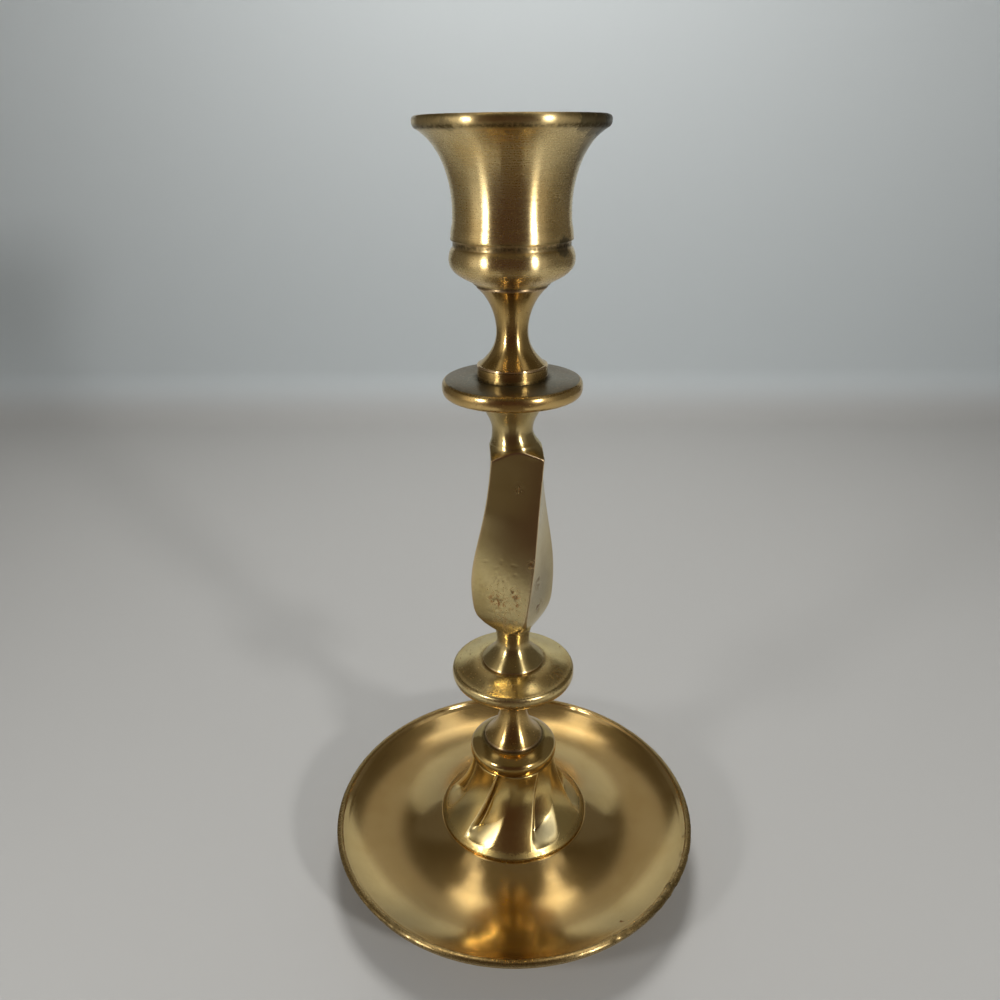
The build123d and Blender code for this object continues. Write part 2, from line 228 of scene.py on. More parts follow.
def wave(azimuth, height, seed, size):
    """Slow waviness of a hand-finished surface, between about -size and size."""
    rng = random.Random(seed)
    total = np.zeros_like(azimuth)
    for order in (1, 2, 3, 5):
        phase = rng.uniform(0, 2 * math.pi)
        tilt = rng.uniform(-0.25, 0.25)
        total += np.sin(np.radians(azimuth * order) + tilt * height + phase) / order
    return size * total / 2


# How grime and wear show on turned pieces
SEAM_GRIME_REACH = 0.7
HOLLOW_GRIME_FROM = 0.35
DENT_GRIME = 2.5
EDGE_WEAR_FROM = 0.3


def lathe(name, outline, columns, waviness=0.02, dents=(), shape=None, dents_from=0.0):
    """Turned piece. An outline that starts on the axis gets poles there. Any other outline is a closed loop.

    Dents show from the radius dents_from outwards. shape is a function that bends the turned form.
    """
    poles = outline[0][0] < 1e-6
    points = np.array(outline)
    ring = points[1:-1] if poles else points
    rows = len(ring)
    azimuth = np.tile(np.arange(columns) * 360 / columns, rows)
    radius = np.repeat(ring[:, 0], columns)
    height = np.repeat(ring[:, 1], columns)
    edge = edge_measure(outline, not poles)
    edge = np.repeat(edge[1:-1] if poles else edge, columns)
    depth = dent_field(azimuth, height, radius, dents) * (radius > dents_from)
    sway = np.where(radius > BORE + 1, wave(azimuth, height, name, waviness) - waviness, 0)
    worn_radius = radius + sway - depth
    if shape:
        worn_radius, height = shape(worn_radius, height, azimuth)
    angle = np.radians(azimuth)
    vertices = np.stack([worn_radius * np.sin(angle), -worn_radius * np.cos(angle), height], 1)
    faces = grid_faces(rows, columns, not poles)
    seam = np.min([np.hypot(radius - r, height - z) for r, z in SEAMS], axis=0)
    grime = np.exp(-((seam / SEAM_GRIME_REACH) ** 2)) + np.clip(-edge - HOLLOW_GRIME_FROM, 0, 1)
    grime = np.clip(grime + depth * DENT_GRIME, 0, 1)
    wear_and_highlight = np.clip(edge - EDGE_WEAR_FROM, 0, 1)
    if poles:
        base = len(vertices)
        vertices = np.vstack([vertices, [0, 0, outline[0][1]], [0, 0, outline[-1][1]]])
        last = (rows - 1) * columns
        for j in range(columns):
            k = (j + 1) % columns
            faces.append((base, k, j))
            faces.append((base + 1, last + j, last + k))
        grime = np.append(grime, [0, 0])
        wear_and_highlight = np.append(wear_and_highlight, [0, 0])
    return new_mesh(name, vertices, faces, {"grime": grime, "wear_and_highlight": wear_and_highlight})


def lift(points, height):
    return [(r, z + height) for r, z in points]


def smoothstep(low, high, value):
    share = np.clip((value - low) / (high - low), 0, 1)
    return share * share * (3 - 2 * share)


def natural_spline(xs, ys, at):
    """Natural cubic spline through the given points."""
    xs, ys = np.array(xs, float), np.array(ys, float)
    step = np.diff(xs)
    count = len(xs)
    system = np.eye(count)
    right = np.zeros(count)
    for i in range(1, count - 1):
        system[i, i - 1 : i + 2] = step[i - 1], 2 * (step[i - 1] + step[i]), step[i]
        right[i] = 6 * ((ys[i + 1] - ys[i]) / step[i] - (ys[i] - ys[i - 1]) / step[i - 1])
    bend = np.linalg.solve(system, right)
    i = np.clip(np.searchsorted(xs, at) - 1, 0, count - 2)
    h = step[i]
    a, b = (xs[i + 1] - at) / h, (at - xs[i]) / h
    return a * ys[i] + b * ys[i + 1] + ((a**3 - a) * bend[i] + (b**3 - b) * bend[i + 1]) * h * h / 6


# Camera: the photograph's view, for a square picture of 1000 pixels
FOCAL_PIXELS = 819
CAMERA_PLACE = (0, -0.190, 0.1989)
CAMERA_DIP = 23.9
CAMERA_YAW = 0.97
CAMERA_ROLL = -0.545

camera_data = bpy.data.cameras.new("camera")
camera_data.sensor_width = 36
camera_data.lens = FOCAL_PIXELS * camera_data.sensor_width / 1000
camera = new_object("camera", camera_data)
turn = (
    Matrix.Rotation(math.radians(CAMERA_YAW), 4, "Z")
    @ Matrix.Rotation(math.radians(90 - CAMERA_DIP), 4, "X")
    @ Matrix.Rotation(math.radians(CAMERA_ROLL), 4, "Z")
)
camera.matrix_world = Matrix.Translation(CAMERA_PLACE) @ turn
bpy.context.scene.camera = camera
bpy.context.scene.view_settings.view_transform = "Standard"


# Materials
class Nodes:
    """Short names for the shader nodes that the materials share."""

    def __init__(self, material):
        material.use_nodes = True
        self.tree = material.node_tree
        self.shader = self.tree.nodes.get("Principled BSDF")

    def add(self, kind, **settings):
        node = self.tree.nodes.new(kind)
        for key, value in settings.items():
            setattr(node, key, value)
        return node

    def put(self, value, socket):
        if isinstance(value, bpy.types.NodeSocket):
            self.tree.links.new(value, socket)
        else:
            socket.default_value = value

    def math(self, operation, a, b=0.0, clamp=False):
        node = self.add("ShaderNodeMath", operation=operation, use_clamp=clamp)
        self.put(a, node.inputs[0])
        self.put(b, node.inputs[1])
        return node.outputs[0]

    def times(self, a, b, clamp=False):
        return self.math("MULTIPLY", a, b, clamp)

    def plus(self, a, b, clamp=False):
        return self.math("ADD", a, b, clamp)

    def larger(self, a, b, clamp=False):
        return self.math("MAXIMUM", a, b, clamp)

    def spread(self, value, size):
        """A noise value, moved from around 0.5 to around 0 and scaled."""
        return self.times(self.math("SUBTRACT", value, 0.5), size)

    def vector(self, operation, a, b):
        node = self.add("ShaderNodeVectorMath", operation=operation)
        self.put(a, node.inputs[0])
        self.put(b, node.inputs[1])
        return node.outputs[0]

    def ramp(self, value, low, high, to_low=0.0, to_high=1.0):
        node = self.add("ShaderNodeMapRange", interpolation_type="SMOOTHSTEP")
        self.put(value, node.inputs[0])
        for index, number in enumerate((low, high, to_low, to_high), 1):
            self.put(number, node.inputs[index])
        return node.outputs[0]

    def noise(self, vector, scale, detail=4.0, roughness=0.55):
        node = self.add("ShaderNodeTexNoise")
        self.put(vector, node.inputs["Vector"])
        self.put(scale, node.inputs["Scale"])
        self.put(detail, node.inputs["Detail"])
        self.put(roughness, node.inputs["Roughness"])
        return node.outputs["Fac"]

    def mix(self, share, a, b):
        node = self.add("ShaderNodeMix", data_type="RGBA")
        self.put(share, node.inputs[0])
        self.put(a, node.inputs[6])
        self.put(b, node.inputs[7])
        return node.outputs[2]

    def attribute(self, name):
        return self.add("ShaderNodeAttribute", attribute_name=name).outputs["Fac"]

    def split(self, vector):
        node = self.add("ShaderNodeSeparateXYZ")
        self.put(vector, node.inputs[0])
        return node.outputs

    def millimetres(self):
        place = self.add("ShaderNodeTexCoord").outputs["Object"]
        return self.vector("MULTIPLY", place, (1000, 1000, 1000))


BRASS_DEEP = (0.66, 0.42, 0.13, 1)
BRASS_OLIVE = (0.77, 0.61, 0.29, 1)
BRASS_PINK = (0.85, 0.62, 0.40, 1)
TARNISH = (0.20, 0.15, 0.075, 1)
STAIN = (0.10, 0.09, 0.06, 1)
PATINA = (0.19, 0.165, 0.10, 1)
PIT = (0.24, 0.10, 0.03, 1)
GRIME = (0.10, 0.07, 0.025, 1)


def near_any(nodes, place, spots, fine=None):
    """Strongest of some spots: (azimuth, radius, height, reach, strength). A fine noise frays their edges."""
    most = 0.0
    for azimuth, radius, height, reach, strength in spots:
        angle = math.radians(azimuth)
        centre = (radius * math.sin(angle), -radius * math.cos(angle), height)
        node = nodes.add("ShaderNodeVectorMath", operation="DISTANCE")
        nodes.put(place, node.inputs[0])
        nodes.put(centre, node.inputs[1])
        spot = nodes.ramp(node.outputs["Value"], 0.0, reach, 1.0, 0.0)
        if fine is not None:
            spot = nodes.ramp(nodes.plus(spot, nodes.spread(fine, 0.9)), 0.25, 0.6)
        most = nodes.larger(most, nodes.times(spot, strength))
    return most


def turning_marks(nodes, place):
    """Noise drawn out into rings round the axis."""
    x, y, z = nodes.split(place)
    reach = nodes.math("SQRT", nodes.plus(nodes.times(x, x), nodes.times(y, y)))
    safe = nodes.larger(reach, 0.5)
    around = nodes.add("ShaderNodeCombineXYZ")
    nodes.put(nodes.times(nodes.math("DIVIDE", x, safe), 1.6), around.inputs[0])
    nodes.put(nodes.times(nodes.math("DIVIDE", y, safe), 1.6), around.inputs[1])
    nodes.put(nodes.times(nodes.plus(z, nodes.times(reach, 1.37)), 2.6), around.inputs[2])
    return nodes.noise(around.outputs[0], 1.0, 3.0, 0.6)


def casting_pits(nodes, place, speck, fine, pits, zones):
    """Small round pits, scattered all over and crowded in the zones, where some run together."""
    voronoi = nodes.add("ShaderNodeTexVoronoi", feature="F1")
    nodes.put(place, voronoi.inputs["Vector"])
    nodes.put(1.5, voronoi.inputs["Scale"])
    chosen = nodes.add("ShaderNodeSeparateColor")
    nodes.put(voronoi.outputs["Color"], chosen.inputs[0])
    small = nodes.ramp(voronoi.outputs["Distance"], 0.12, 0.38, 1.0, 0.0)
    zone = near_any(nodes, place, zones)
    chance = nodes.plus(nodes.plus(chosen.outputs[0], nodes.times(speck, 0.5)), zone)
    strength = nodes.larger(nodes.times(zone, 1.6), pits, clamp=True)
    pit = nodes.times(nodes.times(small, nodes.ramp(chance, 0.98, 1.06)), strength)
    if zones:
        blotch = nodes.ramp(nodes.plus(speck, nodes.spread(fine, 1.3)), 0.58, 0.64)
        pit = nodes.larger(pit, nodes.times(blotch, nodes.times(zone, 1.5), clamp=True))
    return pit


def brass(
    name, colour, deep=BRASS_DEEP, mottle=0.35, turned=None, worn_and_highlight=BRASS_PINK, roughness=0.24,
    turned_gloss=0.0, worn_gloss=0.0, anisotropy=0.0, rings=0.5, grain=0.0, tarnish=0.0, patina=0.0,
    pits=0.3, pit_zones=(), stains=(), darker_spots=(),
):
    """Brass with a turned, spun or cast surface.

    The colour is mottled with the deep one, and rubbed edges show the worn one; on the bell's flutes the same
    channel carries painted highlights in that colour. turned and turned_gloss are the colour and roughness
    off the flat faces.
    worn_gloss is the roughness that wear and those painted highlights add. rings and grain are the strengths
    of the turning marks and of a fine unevenness, and patina is the dullness of what faces up. pit_zones,
    stains and the spots painted darker in the patina colour are spots for near_any.
    """
    material = bpy.data.materials.new(name)
    nodes = Nodes(material)
    shader = nodes.shader
    place = nodes.millimetres()
    turning = turning_marks(nodes, place)
    cloud = nodes.noise(place, 0.09, 5.0, 0.6)
    fine = nodes.noise(place, 1.5, 3.0, 0.6)
    speck = nodes.noise(place, 0.75, 3.0, 0.5)
    pit = casting_pits(nodes, place, speck, fine, pits, pit_zones)
    wear_and_highlight = nodes.attribute("wear_and_highlight")

    # Colour, from the bare metal to what lies on it
    tinted = nodes.mix(nodes.times(nodes.ramp(cloud, 0.42, 0.68), mottle), colour, deep)
    if turned:
        tinted = nodes.mix(nodes.attribute("flat"), turned, tinted)
    patch = nodes.times(nodes.ramp(nodes.plus(cloud, nodes.times(fine, 0.35)), 0.55, 0.85), tarnish)
    tinted = nodes.mix(patch, tinted, TARNISH)
    if patina:
        upward = nodes.split(nodes.add("ShaderNodeNewGeometry").outputs["Normal"])[2]
        level = nodes.times(nodes.ramp(upward, 0.9, 0.985), nodes.ramp(fine, 0.25, 0.5, 0.8, 1.0))
        level = nodes.times(level, patina)
        tinted = nodes.mix(level, tinted, nodes.mix(nodes.ramp(cloud, 0.4, 0.62), PATINA, TARNISH))
        patch = nodes.larger(patch, nodes.times(level, 0.6))
    if stains:
        stained = near_any(nodes, place, stains, fine)
        tinted = nodes.mix(stained, tinted, STAIN)
        patch = nodes.larger(patch, stained)
    # Rubbed edges, and on the bell's flutes painted highlights, take the worn colour
    tinted = nodes.mix(nodes.times(wear_and_highlight, 0.6), tinted, worn_and_highlight)
    # Some spots are painted darker, in the patina colour
    if darker_spots:
        tinted = nodes.mix(near_any(nodes, place, darker_spots), tinted, PATINA)
    dirt = nodes.times(nodes.attribute("grime"), nodes.ramp(fine, 0.3, 0.6, 0.35, 0.85))
    tinted = nodes.mix(nodes.math("MINIMUM", dirt, 1.0), tinted, GRIME)
    tinted = nodes.mix(nodes.math("MINIMUM", pit, 1.0), tinted, PIT)
    nodes.put(tinted, shader.inputs["Base Color"])
    nodes.put(1.0, shader.inputs["Metallic"])

    if turned:
        roughness = nodes.mix(nodes.attribute("flat"), (turned_gloss,) * 3 + (1,), (roughness,) * 3 + (1,))
    gloss = nodes.plus(roughness, nodes.spread(fine, 0.10))
    gloss = nodes.plus(gloss, nodes.spread(turning, 0.12 * rings))
    gloss = nodes.plus(gloss, nodes.times(patch, 0.22))
    gloss = nodes.plus(gloss, nodes.times(wear_and_highlight, worn_gloss))
    gloss = nodes.plus(gloss, nodes.times(nodes.larger(dirt, pit), 0.3), clamp=True)
    nodes.put(gloss, shader.inputs["Roughness"])
    if anisotropy:
        nodes.put(anisotropy, shader.inputs["Anisotropic"])
        nodes.put(0.25, shader.inputs["Anisotropic Rotation"])
        tangent = nodes.add("ShaderNodeTangent", direction_type="RADIAL", axis="Z")
        nodes.put(tangent.outputs[0], shader.inputs["Tangent"])

    # Bump height in millimetres
    height = nodes.plus(nodes.times(turning, 0.004 * rings), nodes.times(speck, 0.003))
    height = nodes.plus(height, nodes.times(fine, 0.0008 + 0.03 * grain))
    height = nodes.math("SUBTRACT", height, nodes.times(nodes.times(pit, pit), 0.03))
    bump = nodes.add("ShaderNodeBump")
    nodes.put(1.0, bump.inputs["Strength"])
    nodes.put(MM, bump.inputs["Distance"])
    nodes.put(height, bump.inputs["Height"])
    nodes.put(bump.outputs[0], shader.inputs["Normal"])
    return material


def steel(name, bright, dim):
    material = bpy.data.materials.new(name)
    nodes = Nodes(material)
    fine = nodes.noise(nodes.millimetres(), 1.4, 5.0)
    nodes.put(nodes.mix(nodes.ramp(fine, 0.35, 0.7), bright, dim), nodes.shader.inputs["Base Color"])
    nodes.put(nodes.ramp(fine, 0.3, 0.7, 0.28, 0.45), nodes.shader.inputs["Roughness"])
    nodes.put(1.0, nodes.shader.inputs["Metallic"])
    return material


def dress(piece, material, node):
    piece.data.materials.append(material)
    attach(piece, "root")
    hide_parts(node)


# Drip pan: places on its outline are (radius, height)
PAN_RADIUS = 52.8
BOSS_HEIGHT = 13.1
LEDGE_RADIUS = 21.85
TROUGH = (37.5, 8.7)
WALL_TOP = (51.1, 12.9)
PAN_SHEET = 2.0
BEAD = 0.85
FOOT_RING = (35, 38)
FOOT_CHAMFER = 0.5

slope_angle = 2 * math.atan2(BOSS_HEIGHT - TROUGH[1], TROUGH[0] - LEDGE_RADIUS)
wall_angle = 2 * math.atan2(WALL_TOP[1] - TROUGH[1], WALL_TOP[0] - TROUGH[0])
slope_under = (
    LEDGE_RADIUS - PAN_SHEET * math.sin(slope_angle),
    BOSS_HEIGHT - PAN_SHEET * math.cos(slope_angle),
)
wall_under = (WALL_TOP[0] + PAN_SHEET * math.sin(wall_angle), WALL_TOP[1] - PAN_SHEET * math.cos(wall_angle))
trough_under = (TROUGH[0], TROUGH[1] - PAN_SHEET)
slope = trough_arc(TROUGH, (LEDGE_RADIUS, BOSS_HEIGHT), 44)
wall = trough_arc(TROUGH, WALL_TOP, 40)
slope_below = trough_arc(trough_under, slope_under, 30)
wall_below = trough_arc(trough_under, wall_under, 30)

# The bead has a narrow flat land on top, then turns down to the pan's full radius
RIM_TOP = WALL_TOP[1] + BEAD
land_in, land_out = (PAN_RADIUS - 1.15 * BEAD, RIM_TOP), (PAN_RADIUS - 0.7 * BEAD, RIM_TOP - 0.05)
bead_foot = (WALL_TOP[0] + 0.03, WALL_TOP[1] + 0.1)
bead_side = (PAN_RADIUS, WALL_TOP[1])
bead = join(
    bezier(bead_foot, (WALL_TOP[0] + 0.1, RIM_TOP - 0.2), (land_in[0] - 0.3, RIM_TOP), land_in, 8),
    line(land_in, land_out, 0.1),
    bezier(land_out, (PAN_RADIUS - 0.15, RIM_TOP - 0.15), (PAN_RADIUS, WALL_TOP[1] + 0.4), bead_side, 8),
    arc((PAN_RADIUS - BEAD, WALL_TOP[1]), BEAD, 0, -62, 8),
)
foot_in, foot_out = FOOT_RING
foot_top = 6.2
outer_below = [p for p in reversed(wall_below) if p[0] > foot_out]
inner_below = [p for p in slope_below if p[0] < foot_in]
boss_below = BOSS_HEIGHT - PAN_SHEET
pan_outline = join(
    line((BORE, BOSS_HEIGHT), (LEDGE_RADIUS, BOSS_HEIGHT), 1.4),
    reversed(slope),
    wall,
    bead,
    outer_below,
    [(foot_out, outer_below[-1][1])],
    line((foot_out, foot_top), (foot_out, FOOT_CHAMFER), 1.5),
    line((foot_out - FOOT_CHAMFER, 0), (foot_in + FOOT_CHAMFER, 0), 0.5),
    line((foot_in, FOOT_CHAMFER), (foot_in, foot_top), 1.5),
    inner_below,
    line((slope_under[0], boss_below), (BORE, boss_below), 1.4),
    [(BORE, BOSS_HEIGHT)],
)
pan_outline = soften(pan_outline[:-1], 0.25, True)


def pan_dents():
    """Dents along the rim: many on the right, some on the left and a few faint ones elsewhere."""
    rng = random.Random(11)
    groups = (
        (60, lambda: rng.gauss(48, 12), -0.5, (0.35, 0.6), (0.06, 0.2)),
        (14, lambda: rng.gauss(-38, 9), -0.4, (0.35, 0.6), (0.03, 0.14)),
        (16, lambda: rng.uniform(80, 320), -0.4, (0.4, 0.7), (0.02, 0.06)),
    )
    dents = []
    for count, azimuth, low, reach, depth in groups:
        for _ in range(count):
            place = (azimuth(), WALL_TOP[1] + rng.uniform(low, 0.8))
            dents.append((*place, rng.uniform(*reach), rng.uniform(*depth)))
    return dents


def pan_shape(radius, height, azimuth):
    """The rim isn't quite level, and a shallow line is scored inside it, on the upper side."""
    out = smoothstep(40, 52, radius)
    sway = 0.12 * np.sin(np.radians(2 * azimuth + 50)) - 0.12
    score = 0.07 * np.exp(-(((radius - 50.0) / 0.22) ** 2)) * (height > 9)
    return radius, height + out * sway - score


# Dark specks seen in the pan: (azimuth, radius, height, reach, strength)
PAN_SPOTS = ((-18.6, 43.4, 9.4, 1.0, 0.9), (36.6, 47.5, 10.8, 1.0, 0.9), (-10.3, 37.2, 8.7, 0.8, 0.8))
# Spots on the pan painted darker in the patina colour: (azimuth, radius, height, reach, strength)
PAN_DARKER_SPOTS = ((-35, 46, 10.5, 16, 0.4), (35, 46, 10.5, 13, 0.2), (-148, 44, 10, 15, 0.4))
spun_brass = brass(
    "spun_brass", colour=(0.71, 0.51, 0.225, 1), deep=(0.62, 0.42, 0.16, 1), mottle=0.5,
    worn_and_highlight=(0.98, 0.82, 0.50, 1), worn_gloss=0.18, roughness=0.17, anisotropy=0.9, rings=0.7, pits=0.1,
    pit_zones=PAN_SPOTS, darker_spots=PAN_DARKER_SPOTS,
)
pan = lathe("drip_pan_brass", pan_outline, 400, 0.03, pan_dents(), pan_shape, 50.2)
dress(pan, spun_brass, "drip_pan")

# Fluted bell
BELL_HEIGHT = 21.5
BELL_FLARE_HEIGHT = 20.7
BELL_TOP_RADIUS = 11.8
BELL_FOOT_RADIUS = 21.35
FLUTES = 6
FLUTE_PITCH = 360 / FLUTES
FLUTE_DEPTH = 1.75
# The left edge and the right edge of a flute: (height above the bell's foot, azimuth)
ARRIS = ((2.0, -44.2), (4.5, -43.4), (7.7, -40.4), (11.5, -36.5), (16.0, -31.0), (21.5, -23.2))
FLUTE_EDGE = ((2.0, -16.8), (5.5, -13.8), (8.3, -10.8), (11.5, -7.0), (16.0, 1.5), (21.5, 14.6))
FLUTE_FOOT = 2.2
FLUTE_LOWEST = 2.0
BODY_FROM = 0.8
CAVITY_TOP = 16.5


def flute_form(height, t):
    """Depth of a flute, a painted highlight along its foot's edge and a painted highlight over its ramp, at a
    height and at shares t of its width.
    """
    # Deepest beside the arris, and shallower to the right and towards the top
    deepest = 0.15 + 0.17 * (1 - smoothstep(2, 6, height))
    down = np.clip(t / deepest, 0, 1)
    back = np.clip((t - deepest) / (1 - deepest), 0, 1)
    steep = 1 - (1 - down) ** (1.1 + 0.9 * smoothstep(3, 6, height))
    side = steep * (1 - back) ** (0.95 + 0.55 * smoothstep(6, 13, height))
    fade = 1 - 0.4 * smoothstep(8, 19, height)
    # Its lower end is a ramp, longer towards the right, with rounded corners
    corner = 1.6 * np.clip((t - 0.72) / 0.28, 0, 1) ** 2 + 0.7 * np.clip((0.16 - t) / 0.16, 0, 1) ** 2
    above = height - FLUTE_FOOT - corner
    rise = np.clip(above / (2.8 + 4.6 * t), 0, 2)
    eased = 0.75 + 0.25 * np.sin(np.clip((rise - 0.75) / 0.4, 0, 1) * math.pi / 2)
    depth = FLUTE_DEPTH * side * fade * np.where(rise < 0.75, rise, eased)
    # A painted highlight along the edge at the ramp's foot, and a painted highlight over the ramp's middle
    foot_crest = 0.3 * np.exp(-((above / 0.2) ** 2)) * (t < 0.97) * (t > 0)
    ramp_highlight = np.clip(3 * rise, 0, 1) * np.clip(5 * (1.05 - rise), 0, 1)
    ramp_highlight = ramp_highlight * np.clip(8 * t, 0, 1) * np.clip(6 * (1 - t), 0, 1)
    return depth, foot_crest, ramp_highlight


def fluted_bell():
    across = np.concatenate([
        np.linspace(-0.08, 0.0, 5)[:-1],
        np.linspace(0.0, 0.14, 13)[:-1],
        np.linspace(0.14, 0.9, 18)[:-1],
        np.linspace(0.9, 1.0, 7)[:-1],
    ])
    rib = 16
    rows = np.concatenate([
        np.linspace(BODY_FROM, FLUTE_LOWEST, 5)[:-1],
        np.linspace(FLUTE_LOWEST, 4.4, 20)[:-1],
        np.linspace(4.4, BELL_HEIGHT - 0.3, 46),
    ])
    per_flute = len(across) + rib
    columns = per_flute * FLUTES
    vertices = []
    grime = []
    wear_and_highlight = []
    for height in rows:
        level = np.array([max(height, FLUTE_LOWEST)])
        left = natural_spline(*zip(*ARRIS), level)[0]
        right = natural_spline(*zip(*FLUTE_EDGE), level)[0]
        width = right - left
        between = right + np.linspace(0, FLUTE_PITCH - 1.05 * width, rib + 1)[:-1]
        places = np.concatenate([left + across * width, between])
        t = np.concatenate([np.clip(across, 0, 1), np.full(rib, 1.0)])
        depth, foot_crest, ramp_highlight = flute_form(height, t)
        # The side flares as a parabola, and a flute is cut square to it
        share = (BELL_HEIGHT - height) / BELL_FLARE_HEIGHT
        radius = BELL_TOP_RADIUS + (BELL_FOOT_RADIUS - BELL_TOP_RADIUS) * share**2
        slope = 2 * (BELL_FOOT_RADIUS - BELL_TOP_RADIUS) * (BELL_HEIGHT - height) / BELL_FLARE_HEIGHT**2
        length = math.sqrt(1 + slope**2)
        crest = np.concatenate([np.exp(-((across * width) ** 2)), np.zeros(rib)]) * (height > FLUTE_FOOT)
        for flute in range(FLUTES):
            # Every other flute is a little deeper, with a weaker painted highlight on its ramp
            uneven, highlight_share = (1.03, 0.65) if flute % 2 == 0 else (0.9, 1.0)
            r = radius - depth * uneven / length
            z = height - depth * uneven * slope / length
            angle = np.radians(places + FLUTE_PITCH * flute)
            vertices.append(np.stack([r * np.sin(angle), -r * np.cos(angle), z + BELL_FOOT], 1))
            grime.append(np.full(per_flute, 0.75 * (1 - smoothstep(1.4, 2.6, height))))
            # Wear along the arris, with a painted highlight there too, and the painted highlights at the
            # ramp's foot and over the ramp
            wear_and_highlight.append(np.clip(crest + foot_crest + highlight_share * ramp_highlight, 0, 1))
    vertices = np.vstack(vertices)
    grime, wear_and_highlight = np.concatenate(grime), np.concatenate(wear_and_highlight)

    # The top, the bore, the hollow underside and the foot, as rings of the same columns
    x, y = vertices[-columns:, 0], vertices[-columns:, 1]
    angles, top_radius = np.arctan2(x, -y), np.hypot(x, y)
    foot_angles = np.arctan2(vertices[:columns, 0], -vertices[:columns, 1])

    def ring(angle, radius, height):
        level = np.full(columns, height + BELL_FOOT)
        return np.stack([radius * np.sin(angle), -radius * np.cos(angle), level], 1)

    inside = [(6, BELL_HEIGHT), (BORE, BELL_HEIGHT), (BORE, CAVITY_TOP), (7.5, CAVITY_TOP)]
    inside += bezier((7.8, CAVITY_TOP - 0.2), (7.8, 11), (7.9, 8), (17.35, 0), 14)
    foot = [(20.9, 0), (21.2, 0.05), (BELL_FOOT_RADIUS, 0.25), (BELL_FOOT_RADIUS, 0.5)]
    rings = [ring(angles, top_radius - 0.08, BELL_HEIGHT - 0.08), ring(angles, top_radius - 0.3, BELL_HEIGHT)]
    rings += [ring(angles, r, z) for r, z in inside]
    rings += [ring(foot_angles, r, z) for r, z in foot]
    hidden_grime = np.zeros(len(rings) * columns)
    hidden_grime[-len(foot) * columns :] = 0.3
    return new_mesh(
        "fluted_bell_brass",
        np.vstack([vertices] + rings),
        grid_faces(len(rows) + len(rings), columns, True),
        {"grime": np.append(grime, hidden_grime), "wear_and_highlight": np.append(wear_and_highlight, np.zeros(len(rings) * columns))},
    )


cast_brass_bell = brass(
    "cast_brass_bell", colour=(0.67, 0.50, 0.19, 1), mottle=0.6, worn_and_highlight=(0.95, 0.84, 0.50, 1), roughness=0.19,
    worn_gloss=0.36, rings=0.1, pits=0.15,
    darker_spots=((32, 18, BELL_FOOT + 5.5, 7, 0.8), (-62, 17, BELL_FOOT + 8, 9, 0.45)),
)
dress(fluted_bell(), cast_brass_bell, "fluted_bell")

# Domed cap on the bell: heights above its foot
CAP_HEIGHT = 5.95
CAP_SEAT = (8.5, CAP_HEIGHT)
CAP_SHOULDER = (11.5, 4.2)
CAP_WIDEST = (12.35, 2.0)
CAP_EDGE = (11.7, 0.0)
cap_outline = join(
    line((BORE, CAP_HEIGHT), CAP_SEAT),
    bezier(CAP_SEAT, (9.6, 5.7), (10.6, 4.9), CAP_SHOULDER, 12),
    bezier(CAP_SHOULDER, (12.2, 3.7), (CAP_WIDEST[0], 2.9), CAP_WIDEST, 10),
    bezier(CAP_WIDEST, (CAP_WIDEST[0], 1.1), (12.2, 0.5), CAP_EDGE, 8),
    line(CAP_EDGE, (BORE, 0)),
)
cap = lathe("base_cap_brass", soften(lift(cap_outline, CAP_FOOT), 0.2, True), 144)
cap_brass = brass(
    "turned_brass_cap", colour=(0.60, 0.43, 0.16, 1), mottle=0.5, roughness=0.17, anisotropy=0.6, patina=0.6,
)
dress(cap, cap_brass, "base_cap")

# Spools: heights from the flange's face
SPOOL_LENGTH = 21.6
SPOOL_FLANGE = (8.2, 0.55)
SPOOL_WAIST = (3.75, 10.6)
SPOOL_SHOULDER = (7.8, 18.3)


def spool_outline():
    collar_foot = SPOOL_SHOULDER[1]
    return join(
        line((BORE, 0), (8.0, 0)),
        line((8.2, 0.1), SPOOL_FLANGE, 0.2),
        waist_curve(SPOOL_FLANGE, SPOOL_WAIST, (0.65, 0.24, 0.35)),
        reversed(waist_curve(SPOOL_SHOULDER, SPOOL_WAIST, (0.26, 0.16, 0.57))),
        line(SPOOL_SHOULDER, (8.3, collar_foot + 0.05), 0.2),
        arc((8.2, collar_foot + 0.4), 0.25, -60, 60, 4),
        line((8.35, collar_foot + 0.7), (8.4, SPOOL_LENGTH - 0.5), 0.7),
        line((8.45, SPOOL_LENGTH - 0.15), (8.3, SPOOL_LENGTH), 0.2),
        line((8.3, SPOOL_LENGTH), (BORE, SPOOL_LENGTH)),
    )


lower_spool = lathe("lower_spool_brass", soften(lift(spool_outline(), LOWER_SPOOL_FOOT), 0.15, True), 128)
upside_down = [(r, UPPER_SPOOL_FOOT + SPOOL_LENGTH - z) for r, z in reversed(spool_outline())]
upper_spool = lathe("upper_spool_brass", soften(upside_down, 0.15, True), 128)
spool_brass = brass(
    "turned_brass_spool", colour=(0.58, 0.40, 0.15, 1), deep=(0.50, 0.31, 0.09, 1), mottle=0.5,
    roughness=0.23, anisotropy=0.85, pits=0.25,
)
dress(lower_spool, spool_brass, "lower_spool")
dress(upper_spool, spool_brass, "upper_spool")

# Discs: heights above the underside
DISC_RADIUS = 16.87
DISC_EDGE = 3.55
DISC_RECESS_RADIUS = 8.55
DISC_CONE_EDGE = (15.9, DISC_EDGE + 0.1)
DISC_WIDEST = (DISC_RADIUS, 2.2)
DISC_UNDER_EDGE = (16.1, 0)


